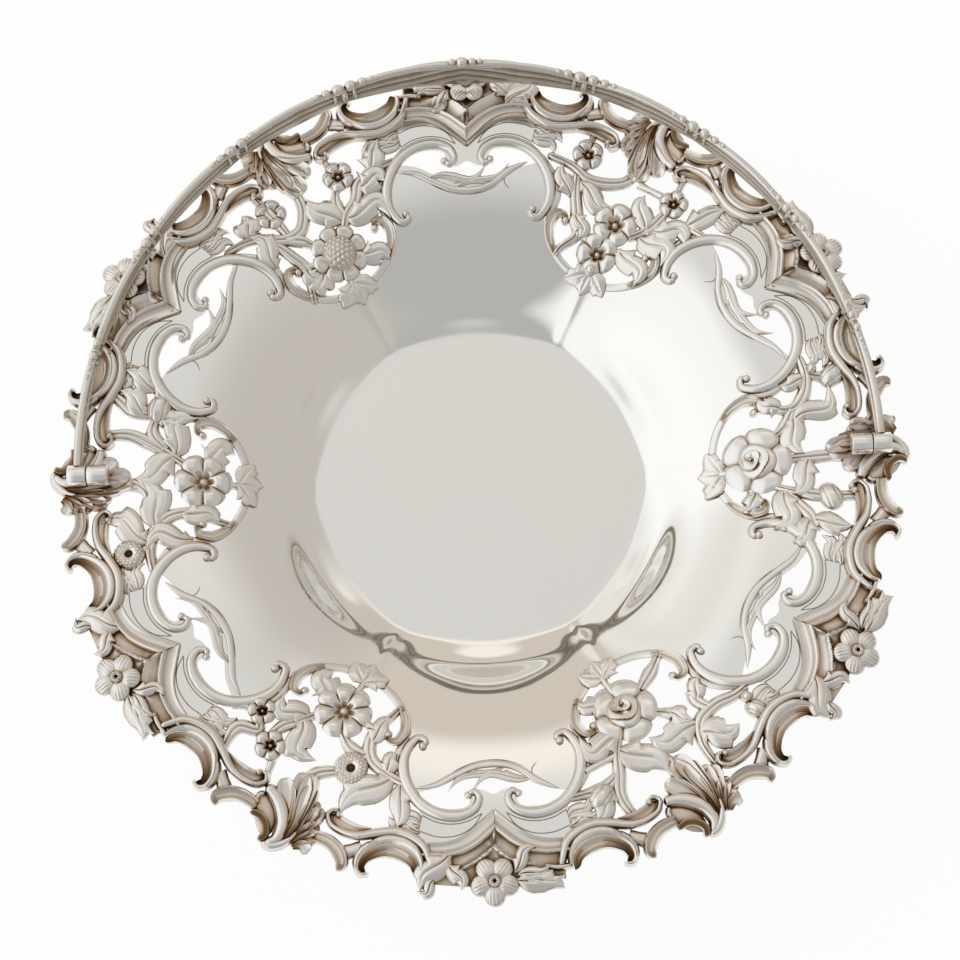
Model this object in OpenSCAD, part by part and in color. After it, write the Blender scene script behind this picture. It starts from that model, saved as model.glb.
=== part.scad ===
// Silver cake basket: a raised six-lobed bowl with pierced floral panels, a cast rim of
// brackets, scrolls and shells, a spreading foot, and a bail handle on two pinned hinges.
// Millimetres, +Z up. The origin is on the table under the middle of the foot, and the
// hinge axis runs along X. The handle is drawn folded back, over the rim on the +Y side.

/* [Bowl] */
// Radius of the flat floor, on the middle of a lobe
floor_r = 61; // [54:1:68]
// How far the floor's corners reach out between the lobes
floor_corner = 2.6; // [0.6:0.2:4]
// Radius at which the pierced gallery begins
gallery_r = 80; // [76:1:86]
// Outer radius of the rim, without its flowers
rim_r = 160; // [150:1:172]
// Height of the wall above the floor, on the middle of a lobe
lobe_h = 33; // [27:1:40]
// Height of the wall above the floor, on a crease between two lobes
crease_h = 27; // [21:1:32]
// Thickness of the raised sheet
gauge = 1.2; // [0.8:0.1:1.8]

/* [Gallery] */
// Width of the stems and of the band round each panel
stem_w = 3; // [1.8:0.1:4]
// Fullness of the leaves, as a share of the widths they are drawn with
leaf_full = 1.35; // [0.8:0.05:1.5]
// How far flowers stand above the sheet
flower_h = 1.6; // [0.8:0.1:2.4]
// How far the leaves at a panel's foot stand above the bowl
leaf_h = 1.2; // [0.6:0.1:2]
// Width of the solder seam between fitted pieces
seam = 0.15; // [0.1:0.05:0.3]

/* [Rim] */
// Height of the bracket plates above the sheet
bracket_h = 2.4; // [1.6:0.1:3]
// Height of the scrolls above the sheet
scroll_h = 3.6; // [2.6:0.1:4.6]
// Width of the long scroll moulding
scroll_w = 4.6; // [2:0.1:6]
// Height of the shells above the sheet
shell_h = 3.4; // [2.4:0.1:4.4]
// Radius of the flowers on the brackets
rim_flower_r = 7.4; // [5:0.1:8.5]
// Thickness of a petal of those flowers
petal_t = 1.6; // [1:0.1:2.2]

/* [Hinges] */
// Outside diameter of the hinge barrels
barrel_d = 8; // [7:0.2:10]
// Length of the half barrel that is fixed to the rim
lug_l = 7.6; // [6:0.2:9]
// Length of the half barrel on the handle
knuckle_l = 7; // [6:0.2:9]
// Diameter of the hinge pin
pin_d = 3; // [2:0.1:3.6]
// Radial running clearance of the pin in the handle's half barrel
pin_clear = 0.05; // [0.02:0.01:0.1]
// Gap between the two halves of a barrel
barrel_gap = 0.3; // [0.2:0.05:0.6]
// Height of the saddle between a shell and the barrel on it
saddle_h = 0.8; // [0.5:0.1:2]

/* [Handle] */
// Radial thickness of the bail
bail_t = 3; // [2.4:0.1:4]
// Width of the bail at the hinges
bail_end_w = 7; // [5.5:0.1:7.5]
// Width of the bail at its crown
bail_top_w = 18; // [12:0.5:22]
// How far inside the rim's outer radius the folded bail lies
bail_inset = 6; // [4:0.5:12]
// Depth to which the bail's ends are let into the half barrels
bail_sink = 0.5; // [0.2:0.1:1]
// Clear height between the folded bail and the rim below it
bail_gap = 0.8; // [0.5:0.1:2]
// Width of the bracket on the bail's crown
crown_w = 22; // [18:0.5:26]
// Thickness of the bracket on the bail's crown
crown_t = 4.2; // [3.4:0.1:5]

/* [Foot] */
// Height of the floor's underside above the table
foot_h = 24; // [16:1:34]
// Outer radius of the foot where it meets the bowl
foot_top_r = 50; // [42:1:53]
// Outer radius of the foot's border
foot_base_r = 67; // [60:1:76]
// Thickness of the foot's wall
foot_wall = 1.4; // [1:0.1:2]
// Height of the foot's border
border_h = 4; // [3:0.5:6]
// Radial width of the foot's border
border_w = 7; // [5:0.5:9]

/* [Hidden] */
LOBES = 6;
SECTOR = 360 / LOBES;
FIRST_LOBE = 30;
FULL = 100;

// Heights of the wall follow sin(sweep * t ^ ease), t being the share of the way to the rim,
// and a short run-out at the floor softens the start.
LOBE_SWEEP = 105;
LOBE_EASE = 1;
CREASE_SWEEP = 108;
CREASE_EASE = 0.75;
RUN_OUT = 0.02;
SLOPE_STEP = 0.5;

// Facets: rings of the bowl as shares of the way to the rim, steps round it, and of a patch
BOWL_RINGS = [0, 0.03, 0.08, 0.15, 0.25, 0.38, 0.52, 0.68];
BOWL_STEPS = 60;
PATCH_STEP_A = 5;
PATCH_STEP_P = 13;
ROD_FN = 5;
PETAL_FN = 6;
BOSS_FN = 8;

// Shares of a flower's radius: its disc, where its petals sit and how wide they are, and the
// boss in its middle, or that of a bud
DISC = 0.7;
PETAL_AT = 0.58;
PETAL_R = 0.42;
FLOWER_BOSS = 0.45;
BUD_BOSS = 0.9;
RIM_DISC = 0.5;
RIM_PETAL_AT = 0.6;
RIM_PETAL_R = 0.38;
RIM_BOSS = 0.2;

// A leaf's edge: [share of its length, share of its width]
LEAF_EDGE = [[0.35, 1], [0.65, 0.8]];
// A bail's section, as shares of half its thickness and half its width, from inside to inside
BAIL_SECTION = [[-1, -1], [1, -0.8], [1.25, 0], [1, 0.8], [-1, 1]];
// The foot's flare, and its border's outer moulding as shares of the border's width and height
FLARE_POWER = 2.2;
FLARE_STEPS = 8;
BORDER_MOULDING = [[0.2, 0], [0, 0.35], [0.1, 0.7], [0.3, 1]];

// Places on the gallery are [degrees clockwise from a panel's or lobe's middle, percent of the
// way from gallery_r to rim_r].
SHEET_EDGE = 80;
PANEL_FROM = 5;
FOOT_LEAF_TO = 30;
SECTION_SPAN = [64, 102];
PLATE_SPAN = [66, 95];
SHELL_SPAN = [58, 106];
PANEL_HALF = 20;
SHELL_HALF = 5.1;
BRACKET_HALF = 12;
CUT_DEPTH = 200;

// Right half of the arched opening that takes a floral panel
ARCH = [[0, 10], [4, 10.8], [8, 14], [11, 19], [13, 25], [13.8, 31], [13.4, 38], [13.2, 44],
        [14.4, 51], [16.4, 57], [18.4, 62], [18.2, 68], [17.6, 74], [17, 100]];
// Crescent that is pierced above the polished part of a lobe
CRESCENT = [[-12.2, 58], [-9.5, 61.5], [-6.5, 62], [-4, 60], [-3.7, 54], [-2, 52.6], [0, 55], [2, 52.6],
            [3.7, 54], [4, 60], [6.5, 62], [9.5, 61.5], [12.8, 57.5], [10, 53.5], [7, 49.5], [4, 46],
            [0, 44], [-4, 46.5], [-6.5, 50], [-9, 54.5]];
// Leaves that cross the crescent: [base, tip, width, bend]
CRESCENT_LEAVES = [[[-7, 49], [3.4, 53.2], 4, -0.16], [[-2, 43], [7.6, 54.5], 3, -0.1]];

// Each floral panel, anticlockwise from the +X hinge. Flowers are [place, radius, petals], and
// no petals means a round bud. Stems are lists of places. Leaves are [base, tip, width, bend].
FLOWERS = [
  [[[1, 31], 10.5, 6], [[-12.1, 72.4], 4.2, 0], [[-14.1, 64], 2.2, 0], [[7.8, 65], 4.6, 0]],
  [[[0.4, 40], 8, 5], [[-0.2, 24], 7.5, 5], [[0, 15.8], 2.6, 0], [[-9.1, 67], 5.8, 5],
   [[7.9, 62.4], 5.5, 5]],
  [[[0.3, 29.7], 10.2, 8], [[-6.4, 63.6], 5.8, 5], [[7, 63.3], 5.8, 5]],
  [[[-0.3, 31.3], 9.8, 6], [[-12.8, 68.6], 5.4, 0], [[12.5, 54.7], 4.6, 0]],
  [[[0.7, 31.3], 9.8, 7], [[7.9, 63], 5.4, 5], [[12.6, 53], 4.9, 5], [[-5.5, 54.1], 5.8, 0]],
  [[[2.7, 33.5], 9.8, 6], [[-14.8, 71], 3.4, 0], [[-15.2, 64], 2.3, 0], [[12.9, 65.2], 4.4, 0]],
];
STEMS = [
  [[[0.4, 74], [0.8, 55], [1, 40]], [[-17, 60.5], [-13, 60.5], [-10, 57], [-8.3, 51], [-8.6, 45.5],
   [-11.6, 38]],
   [[-8.3, 51], [-5, 45], [-3.5, 38]], [[7.2, 76], [7.7, 60], [6.8, 44], [6, 37]],
   [[6.8, 43], [9.5, 50], [12, 57], [17, 58.5]], [[-12, 76], [-12.4, 68], [-13.6, 60.5]],
   [[2.5, 24], [3, 13]], [[7, 29], [12.6, 27]]],
  [[[-0.4, 74], [-1.8, 61], [-4, 57.5], [-7.5, 55.8], [-11, 59.5], [-16, 62]], [[0.6, 63.6], [5.6, 63.5]],
   [[-10, 57], [-8.9, 46], [-7.2, 36], [-6.2, 29], [-8.9, 20], [-9.6, 16]], [[7.6, 58], [6.6, 46], [4, 37]],
   [[6.3, 43], [9, 50], [12, 56], [16.6, 58]], [[-9.3, 71], [-9.3, 77]], [[7.4, 66], [6.8, 75]],
   [[-6.4, 30], [-3, 28]], [[0, 18], [0, 12]], [[3, 29], [8, 29], [12, 25]]],
  [[[-0.8, 74], [-1.4, 56], [-3.9, 49], [-7.5, 50], [-10, 56], [-13, 60], [-17.4, 63]],
   [[-7.5, 49.5], [-4.5, 44], [-3, 38]], [[-9.6, 54], [-8.2, 41], [-7.5, 32.4], [-9.4, 23.5], [-11.2, 17]],
   [[3.4, 38], [5.2, 44], [8.4, 50], [9.7, 55.8], [12.5, 59], [17.4, 61]], [[4.8, 44], [4.6, 52], [5.8, 59]],
   [[-6.2, 49.6], [-6.5, 66], [-7, 77]], [[6.4, 68], [5.8, 77]], [[-7.4, 33], [-5, 31]],
   [[-0.4, 20], [-0.6, 12]]],
  [[[-17, 60], [-12, 58.5], [-9, 54.5], [-7.2, 48.5], [-6.6, 39], [-8.9, 27], [-10.8, 19]],
   [[-0.4, 74], [-1.8, 58.5], [-5, 56]], [[7, 76], [7.5, 66], [6, 54], [4.5, 45.5], [2.6, 38]],
   [[5.5, 48.5], [8.3, 56], [12, 55]], [[13.8, 76], [11.2, 60], [11.8, 56]], [[14, 56], [17, 59]],
   [[-12.7, 63.6], [-12, 58]], [[-12.6, 72], [-12.3, 77]], [[-6.8, 36], [-4, 34]], [[-0.8, 22], [-0.8, 12]]],
  [[[-15.4, 54], [-11.5, 51], [-8, 46.5], [-6.6, 38], [-8.5, 26], [-10.2, 18]],
   [[-8, 46.5], [-4, 45.5], [-0.6, 40]], [[-4.4, 56], [-0.4, 64], [0, 74]], [[5.2, 76], [6.4, 67]],
   [[9, 59], [8.2, 52], [6.6, 46], [4.4, 38]], [[12, 57], [11, 60], [13.6, 65], [13, 76]],
   [[14, 55], [16.4, 58]], [[-7.6, 33], [-4, 32]], [[0.4, 22], [0, 12]]],
  [[[-17, 61], [-14.5, 60], [-11, 56.5], [-7, 58], [-5.5, 64], [-4.9, 77]],
   [[-10, 56], [-9.2, 49], [-11.8, 40]],
   [[9.3, 77], [10, 67], [8.8, 58], [7.4, 48], [5, 40]], [[8.8, 58], [11.5, 61.5], [18, 62]],
   [[-6, 57], [-4.5, 47], [-1.5, 40]], [[-14.8, 77], [-15.2, 62]], [[0.4, 74], [1.2, 62], [4, 57]],
   [[7.8, 50], [14.2, 52]], [[2.5, 24], [2.8, 12]], [[-2.5, 29], [-8, 24], [-11, 21]]],
];
LEAVES = [
  [[[-6.2, 50], [-10.5, 67], 4.5, -0.28], [[-7, 50], [-0.6, 53], 5, -0.15],
   [[0.8, 55.5], [7.2, 48], 5, 0.12],
   [[6.8, 43.5], [14.2, 41], 5.5, 0.22], [[12, 57], [16.4, 51], 5, 0.15],
   [[12.2, 57], [12.4, 74], 4.6, -0.05],
   [[-13, 60], [-13, 49], 3.6, 0.1], [[-8.6, 46], [-11.3, 37], 4, 0.1], [[7.5, 31], [11.6, 28], 4, 0]],
  [[[-9, 53], [-1.8, 48], 4.5, -0.15], [[-9.8, 45], [-12.4, 57], 4, 0.12], [[-8, 38], [-5.8, 28], 4, 0.2],
   [[6.4, 44], [3.2, 58], 4.6, 0.12], [[6, 40], [12.4, 34], 5.5, 0.3], [[7.2, 46], [13.6, 48], 5.5, 0.25],
   [[12, 56], [15.2, 72.5], 5, 0.05], [[3.5, 30.5], [10.2, 20], 5, 0.22]],
  [[[-12, 60], [-10.6, 70], 6, -0.1], [[-12.2, 41], [-12.2, 58.5], 5, -0.2],
   [[4.2, 42], [0.8, 58.5], 6, 0.1],
   [[9.6, 54], [14, 52], 6, 0.25], [[12.5, 59], [15.2, 71.5], 5.5, 0.08], [[5, 43], [12.4, 35], 5.5, 0.3],
   [[4.4, 25], [9.6, 18], 5, 0.15], [[-7.6, 32], [-8.6, 23], 4.5, 0.15], [[-5, 26], [-7.5, 18], 5, -0.15]],
  [[[-11.4, 59], [-7.4, 77], 6, -0.18], [[-9, 54.5], [-1.4, 58.5], 6, -0.15],
   [[4.6, 44.5], [0.6, 61], 6, 0.12],
   [[11, 60], [13.8, 73], 5, -0.12], [[15.5, 58.5], [17.2, 73], 4.5, -0.1],
   [[4.5, 44.5], [11.6, 37], 5.5, 0.3],
   [[10.6, 55], [12.2, 43], 4.5, -0.1], [[-6.8, 42], [-9.2, 27], 5, 0.12],
   [[-12.4, 39], [-12.6, 58], 5, -0.25],
   [[4, 31], [6.4, 19], 6, 0.2]],
  [[[-14.4, 54], [-15.4, 72], 4.5, 0.05], [[-13, 52], [-7.4, 72.5], 6.5, -0.12],
   [[6.4, 44], [1, 56], 5.5, -0.25],
   [[5.6, 42], [11.2, 41], 5, 0.3], [[-7, 40], [-9, 27], 4, 0.1], [[-11.4, 51], [-12.2, 42], 4, 0.1],
   [[4.4, 30], [7, 19], 6, 0.25]],
  [[[-5.8, 61], [-10.8, 69], 6, -0.15], [[-6.6, 57.5], [0.6, 50.5], 6, 0.15],
   [[7.4, 48], [2.3, 66], 6.5, 0.1],
   [[5.6, 43], [12.2, 36], 5.5, 0.32], [[-9.2, 49], [-12, 43], 4, 0.1],
   [[-4.2, 45], [-6.2, 53.5], 4.5, -0.1],
   [[11.2, 61], [14.8, 74], 5, 0.1], [[6, 27], [10, 21], 4.5, 0.1]],
];
// Three leaves at each panel's foot, which lie over the bowl: middle and reach of the side leaves
FOOT_LEAVES = [[3.2, 6], [0.2, 5.6], [-0.6, 5.4], [-0.6, 5.6], [0.2, 5], [2.6, 5]];
FOOT_LEAF_P = [15, 4, 8];
FOOT_LEAF_W = 5;
// Right halves of the small scrolls that flank each panel, and of the band along its edge
CUSP = [[9.6, 34.5], [11.2, 35.4], [12.2, 31], [11.6, 24], [9.6, 17.5]];
EDGE_BAND = [[3, 11.7], [7.6, 15.2], [10.6, 20.4], [12.6, 27.5], [12.7, 36], [12.4, 44], [13.7, 51],
    [17.6, 62.3]];

// Right halves of the rim castings, from the middle of a bracket: the long S-scroll that starts
// at the bracket's tip, the deep C-scroll outside it, and the hooked leaf that meets the shell
S_SCROLL = [[0, 66.5], [5.6, 75.6], [9, 79.5], [12, 77.2], [15, 75.6], [18, 77], [21, 80.3],
    [23.4, 79.6], [24, 76]];
C_SCROLL = [[9.4, 92], [11, 84.4], [13.4, 80.8], [16.4, 80.8], [18.8, 86], [17.4, 97]];
HOOK = [[20.4, 98], [21.4, 92.6], [24, 91.4]];
LINKS = [[[18.6, 89], [22, 86], [24, 90]], [[21, 80.3], [24, 84]]];
BRACKET = [[0, 67.5], [5, 75], [9, 80.5], [9.8, 87], [9, 92], [0, 94]];
BRACKET_LEAVES = [[[5, 84], [9.6, 100], 7, -0.1], [[-3.6, 90], [-8.6, 99], 7, 0.12]];
// Flutes of a shell fan out from its root: their tips, and their widths at root, swell and tip
SHELL_ROOT = [0.6, 96];
SHELL_TIPS = [[-4.2, 77], [-3, 70], [-1.2, 62.5], [0.8, 61.5], [2.6, 69], [4, 76]];
SHELL_WINGS = [[[-0.6, 94], [-4.2, 94]], [[1, 94], [4.2, 92]], [[0, 92], [1.2, 103]]];
FLUTE_W = [4, 4.6, 2];
FLUTE_SWELL = 0.7;
RIM_FLOWER = [0, 96];
PETALS = 5;

HINGE_P = 83;
BAIL_STEPS = 24;
CROWN_FROM = 82;
CROWN_STEPS = 6;
TILT_FROM = 8;
TILT_STEP = 4;

section_half = SECTOR / 2 - SHELL_HALF - asin(2 * seam / gallery_r);
hinge_r = place_r(HINGE_P);
barrel_x0 = hinge_r - lug_l;
barrel_x1 = hinge_r + barrel_gap;
barrel_x2 = barrel_x1 + knuckle_l;
hinge_z = max(surf_z(barrel_x0, 0), surf_z(hinge_r, 0)) + shell_h + seam + saddle_h + barrel_d / 2;
bail_x = barrel_x1 + knuckle_l / 2;
bail_y = rim_r - bail_inset - bail_t / 2;
bail_start = asin((barrel_d / 2 - bail_sink) / bail_y);
rim_top = max(scroll_h, shell_h, bracket_h + petal_t + 2 * seam);
rest_tilt = max([for (a = [TILT_FROM:TILT_STEP:90]) tilt_needed(a)]);

NAMES = ["1", "2", "3", "4", "5", "6"];
SIDES = ["right", "left"];

// The wall's surface

// Angle from the middle of the nearest lobe
function from_lobe(a) = a - FIRST_LOBE - SECTOR * round((a - FIRST_LOBE) / SECTOR);
// 0 on the middle of a lobe and 1 on a crease, hollow between, with a rounded crest
function crease_share(a) = let (s = abs(from_lobe(a)) / (SECTOR / 2)) (s ^ 2 - s ^ 8 / 4) * 4 / 3;
function floor_edge(a) = floor_r + floor_corner * crease_share(a);
function rise(t, sweep, ease) = sin(sweep * t ^ ease) * t / (t + RUN_OUT);
// Height of the bowl's inner surface at a radius and an angle
function surf_z(r, a) =
  let (t = max(0, (r - floor_edge(a)) / (rim_r - floor_edge(a))), c = crease_share(a))
  foot_h + gauge + (1 - c) * lobe_h * rise(t, LOBE_SWEEP, LOBE_EASE)
  + c * crease_h * rise(t, CREASE_SWEEP, CREASE_EASE);
function slope(r, a) = (surf_z(r, a) - surf_z(r - SLOPE_STEP, a)) / SLOPE_STEP;
// A point at height h above the surface, measured square to it along a radius
function above(r, a, h) = [r * cos(a), r * sin(a), surf_z(r, a) + h * sqrt(1 + slope(r, a) ^ 2)];
function place_r(p) = gallery_r + (rim_r - gallery_r) * p / FULL;
function spot(axis, v) = place_r(v[1]) * [cos(axis - v[0]), sin(axis - v[0])];
function mirrored(list) = [for (v = list) [-v[0], v[1]]];
function backwards(list) = [for (i = [len(list) - 1:-1:0]) list[i]];

// A patch of the surface between two heights, round an axis and between two places
module patch(axis, half, p0, p1, h0, h1) {
  na = ceil(2 * half / PATCH_STEP_A);
  np = ceil((p1 - p0) / PATCH_STEP_P);
  row = na + 1;
  count = row * (np + 1);
  function corner(i, j, h) = above(place_r(p0 + (p1 - p0) * i / np), axis - half + 2 * half * j / na, h);
  grid = [for (h = [h1, h0], i = [0:np], j = [0:na]) corner(i, j, h)];
  tops = [for (i = [0:np - 1], j = [0:na - 1], k = [0, 1]) let (o = i * row + j)
    k == 0 ? [o, o + 1, o + row + 1] : [o, o + row + 1, o + row]];
  undersides = [for (f = tops) [f[2] + count, f[1] + count, f[0] + count]];
  rim = concat([for (j = [0:na]) j], [for (i = [1:np]) i * row + na],
    [for (j = [na - 1:-1:0]) np * row + j], [for (i = [np - 1:-1:1]) i * row]);
  walls = [for (k = [0:len(rim) - 1], m = [0, 1]) let (a = rim[k], b = rim[(k + 1) % len(rim)])
    m == 0 ? [b, a, a + count] : [b, a + count, b + count]];
  polyhedron(grid, concat(tops, undersides, walls));
}

// The part of a patch that lies inside an outline in plan
module cut_patch(axis, half, p0, p1, h0, h1) {
  intersection() {
    patch(axis, half, p0, p1, h0, h1);
    linear_extrude(CUT_DEPTH) children();
  }
}

// Outlines in plan

// A leaf from its base to its tip, bowed to one side, widest before the middle
module leaf_outline(axis, v) {
  base = spot(axis, v[0]);
  tip = spot(axis, v[1]);
  run = tip - base;
  side = [-run[1], run[0]];
  unit = side / norm(side);
  full = leaf_full * v[2];
  function edge(t, w) = base + t * run + 4 * t * (1 - t) * v[3] * side + unit * w / 2;
  polygon(concat([edge(0, stem_w)], [for (s = LEAF_EDGE) edge(s[0], s[1] * full)], [edge(1, 0)],
    [for (s = backwards(LEAF_EDGE)) edge(s[0], -s[1] * full)], [edge(0, -stem_w)]));
}

// A ribbon of even width along a row of places
module ribbon_outline(axis, places, w = stem_w) {
  way = [for (v = places) spot(axis, v)];
  last = len(way) - 1;
  function normal(i) = let (d = way[min(i + 1, last)] - way[max(i - 1, 0)]) [-d[1], d[0]] / norm(d);
  polygon(concat([for (i = [0:last]) way[i] + normal(i) * w / 2],
    [for (i = [last:-1:0]) way[i] - normal(i) * w / 2]));
}

// A round-ended rod along a row of places
module rod_outline(axis, places, w = stem_w) {
  for (i = [1:len(places) - 1]) hull() {
    translate(spot(axis, places[i - 1])) circle(d = w, $fn = ROD_FN);
    translate(spot(axis, places[i])) circle(d = w, $fn = ROD_FN);
  }
}

module flower_outline(axis, v) {
  petals = v[2];
  translate(spot(axis, v[0])) {
    circle(r = petals == 0 ? v[1] : DISC * v[1], $fn = 2 * PETAL_FN);
    if (petals > 0) for (k = [1:petals]) rotate(axis + k * 360 / petals) translate([PETAL_AT * v[1], 0])
      circle(r = PETAL_R * v[1], $fn = PETAL_FN);
  }
}

module arch_outline(axis, inset = 0) {
  half = [for (v = ARCH) spot(axis, v)];
  other = [for (v = mirrored(ARCH)) spot(axis, v)];
  offset(delta = -inset) polygon(concat(half, backwards(other)));
}

// The raised bowl

module bowl_sheet() {
  edge_r = place_r(SHEET_EDGE);
  n = BOWL_STEPS;
  shares = concat(BOWL_RINGS, [1]);
  rings = len(shares);
  count = n * rings;
  function ring_r(k, a) = k == rings - 1 ? edge_r : floor_edge(a) + shares[k] * (rim_r - floor_edge(a));
  grid = [for (h = [0, -gauge], k = [0:rings - 1], j = [0:n - 1])
    let (a = 360 * j / n) above(ring_r(k, a), a, h)];
  tops = [for (k = [0:rings - 2], j = [0:n - 1], m = [0, 1])
    let (o = k * n + j, q = k * n + (j + 1) % n) m == 0 ? [o, q, q + n] : [o, q + n, o + n]];
  undersides = [for (f = tops) [f[2] + count, f[1] + count, f[0] + count]];
  last = count - n;
  walls = [for (j = [0:n - 1], m = [0, 1]) let (a = last + j, b = last + (j + 1) % n)
    m == 0 ? [a, b, b + count] : [a, b + count, a + count]];
  floors = [[for (j = [n - 1:-1:0]) j], [for (j = [0:n - 1]) count + j]];
  polyhedron(grid, concat(tops, undersides, walls, floors));
}

module crescent_outline(axis) {
  difference() {
    polygon([for (v = CRESCENT) spot(axis, v)]);
    for (v = CRESCENT_LEAVES) leaf_outline(axis, v);
  }
}

module bowl() {
  color("silver") difference() {
    bowl_sheet();
    linear_extrude(CUT_DEPTH) for (k = [0:LOBES - 1]) {
      arch_outline(k * SECTOR);
      crescent_outline(FIRST_LOBE + k * SECTOR);
    }
  }
}

// The pierced and chased panels

module panel_outline(k) {
  axis = k * SECTOR;
  for (v = STEMS[k]) ribbon_outline(axis, v);
  for (v = LEAVES[k]) leaf_outline(axis, v);
  for (v = FLOWERS[k]) flower_outline(axis, v);
  for (v = [CUSP, mirrored(CUSP)]) rod_outline(axis, v);
  ribbon_outline(axis, concat(backwards(mirrored(EDGE_BAND)), EDGE_BAND));
}

module foot_leaves_outline(k) {
  axis = k * SECTOR;
  middle = FOOT_LEAVES[k][0];
  reach = FOOT_LEAVES[k][1];
  base = [middle, FOOT_LEAF_P[0]];
  for (tip = [[middle, FOOT_LEAF_P[1]], [middle - reach, FOOT_LEAF_P[2]], [middle + reach, FOOT_LEAF_P[2]]])
    leaf_outline(axis, [base, tip, FOOT_LEAF_W, 0]);
}

// Raised middle of a flower, or the whole of a bud
module flower_boss(axis, v) {
  r = v[2] == 0 ? BUD_BOSS * v[1] : FLOWER_BOSS * v[1];
  translate(above(place_r(v[0][1]), axis - v[0][0], flower_h - r)) sphere(r, $fn = BOSS_FN);
}

module floral_panel(k) {
  axis = k * SECTOR;
  color("gainsboro") {
    cut_patch(axis, PANEL_HALF, PANEL_FROM, SHEET_EDGE, -gauge, 0) intersection() {
      arch_outline(axis, seam);
      panel_outline(k);
    }
    intersection() {
      for (v = FLOWERS[k]) flower_boss(axis, v);
      patch(axis, PANEL_HALF, PANEL_FROM, SHEET_EDGE, -gauge / 2, 2 * flower_h);
    }
    cut_patch(axis, PANEL_HALF, 0, FOOT_LEAF_TO, seam, leaf_h) foot_leaves_outline(k);
  }
}

// The cast rim

module section_scrolls(axis) {
  for (side = [0, 1]) {
    for (v = [S_SCROLL, C_SCROLL]) ribbon_outline(axis, side == 0 ? v : mirrored(v), scroll_w);
    for (v = concat([HOOK], LINKS)) rod_outline(axis, side == 0 ? v : mirrored(v), scroll_w);
  }
  for (v = BRACKET_LEAVES) leaf_outline(axis, v);
}

module rim_section(k) {
  axis = FIRST_LOBE + k * SECTOR;
  color("lightgray") {
    cut_patch(axis, section_half, SECTION_SPAN[0], SECTION_SPAN[1], seam, scroll_h) section_scrolls(axis);
    cut_patch(axis, BRACKET_HALF, PLATE_SPAN[0], PLATE_SPAN[1], 2 * seam, bracket_h)
      polygon([for (v = concat(BRACKET, backwards(mirrored(BRACKET)))) spot(axis, v)]);
  }
}

// A flute of a shell, which swells towards its tip
module flute_outline(axis, root, tip) {
  hull() {
    translate(spot(axis, root)) circle(d = FLUTE_W[0], $fn = ROD_FN);
    translate(spot(axis, root + FLUTE_SWELL * (tip - root))) circle(d = FLUTE_W[1], $fn = ROD_FN);
    translate(spot(axis, tip)) circle(d = FLUTE_W[2], $fn = ROD_FN);
  }
}

module rim_shell(k) {
  axis = k * SECTOR;
  color("lightgray") cut_patch(axis, SHELL_HALF, SHELL_SPAN[0], SHELL_SPAN[1], seam, shell_h) {
    for (tip = SHELL_TIPS) flute_outline(axis, SHELL_ROOT, tip);
    for (v = SHELL_WINGS) flute_outline(axis, v[0], v[1]);
  }
}

module rim_flower(k) {
  axis = FIRST_LOBE + k * SECTOR;
  r = place_r(RIM_FLOWER[1]);
  lean = -atan(slope(r, axis));
  color("whitesmoke") translate(above(r, axis, bracket_h + 2 * seam)) rotate([0, lean, axis]) {
    cylinder(h = petal_t, r = RIM_DISC * rim_flower_r);
    for (j = [1:PETALS]) rotate(j * 360 / PETALS) translate([RIM_PETAL_AT * rim_flower_r, 0, 0])
      cylinder(h = petal_t, r = RIM_PETAL_R * rim_flower_r);
    translate([0, 0, petal_t]) sphere(r = RIM_BOSS * rim_flower_r);
  }
}

// The hinges, with the barrel's axis along X and the right one on the +X side

module on_side(side) {
  rotate(side == 0 ? 0 : 180) translate([0, 0, hinge_z]) children();
}

module barrel(x0, x1, d) {
  translate([x0, 0, 0]) rotate([0, 90, 0]) cylinder(h = x1 - x0, d = d);
}

module hinge_lug(side) {
  color("lightgray") on_side(side) difference() {
    union() {
      barrel(barrel_x0, hinge_r, barrel_d);
      translate([barrel_x0, -barrel_d / 4, -barrel_d / 2 - saddle_h])
        cube([lug_l, barrel_d / 2, barrel_d / 2]);
    }
    barrel(barrel_x0 - 1, hinge_r + 1, pin_d);
  }
}

module hinge_pin(side) {
  color("darkgray") on_side(side) barrel(barrel_x0, barrel_x2, pin_d);
}

module handle_knuckle(side) {
  color("lightgray") on_side(side) difference() {
    barrel(barrel_x1, barrel_x2, barrel_d);
    barrel(barrel_x1 - 1, barrel_x2 + 1, pin_d + 2 * pin_clear);
  }
}

// The bail, drawn along half an ellipse and tilted up from level to clear the rim

// 0 at the ends of the crown piece and beyond them, 1 in the middle of the bail
function crown_share(a) = let (half = 90 - CROWN_FROM) abs(a - 90) < half ? cos(90 * (a - 90) / half) : 0;
function bail_w(a) =
  bail_end_w + (bail_top_w - bail_end_w) * sin(a) ^ 2 + (crown_w - bail_top_w) * crown_share(a);
function bail_thick(a) = bail_t + (crown_t - bail_t) * crown_share(a);
function bail_point(a) = [bail_x * cos(a), bail_y * sin(a)];
function bail_normal(a) = let (n = [bail_y * cos(a), bail_x * sin(a)]) n / norm(n);
// Tilt at which the bail just clears what lies under it at an angle
function tilt_needed(a) =
  let (v = bail_point(a), under = surf_z(norm(v), atan2(v[1], v[0])) + rim_top)
  atan((under + bail_gap + bail_w(a) / 2 - hinge_z) / v[1]);

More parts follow.
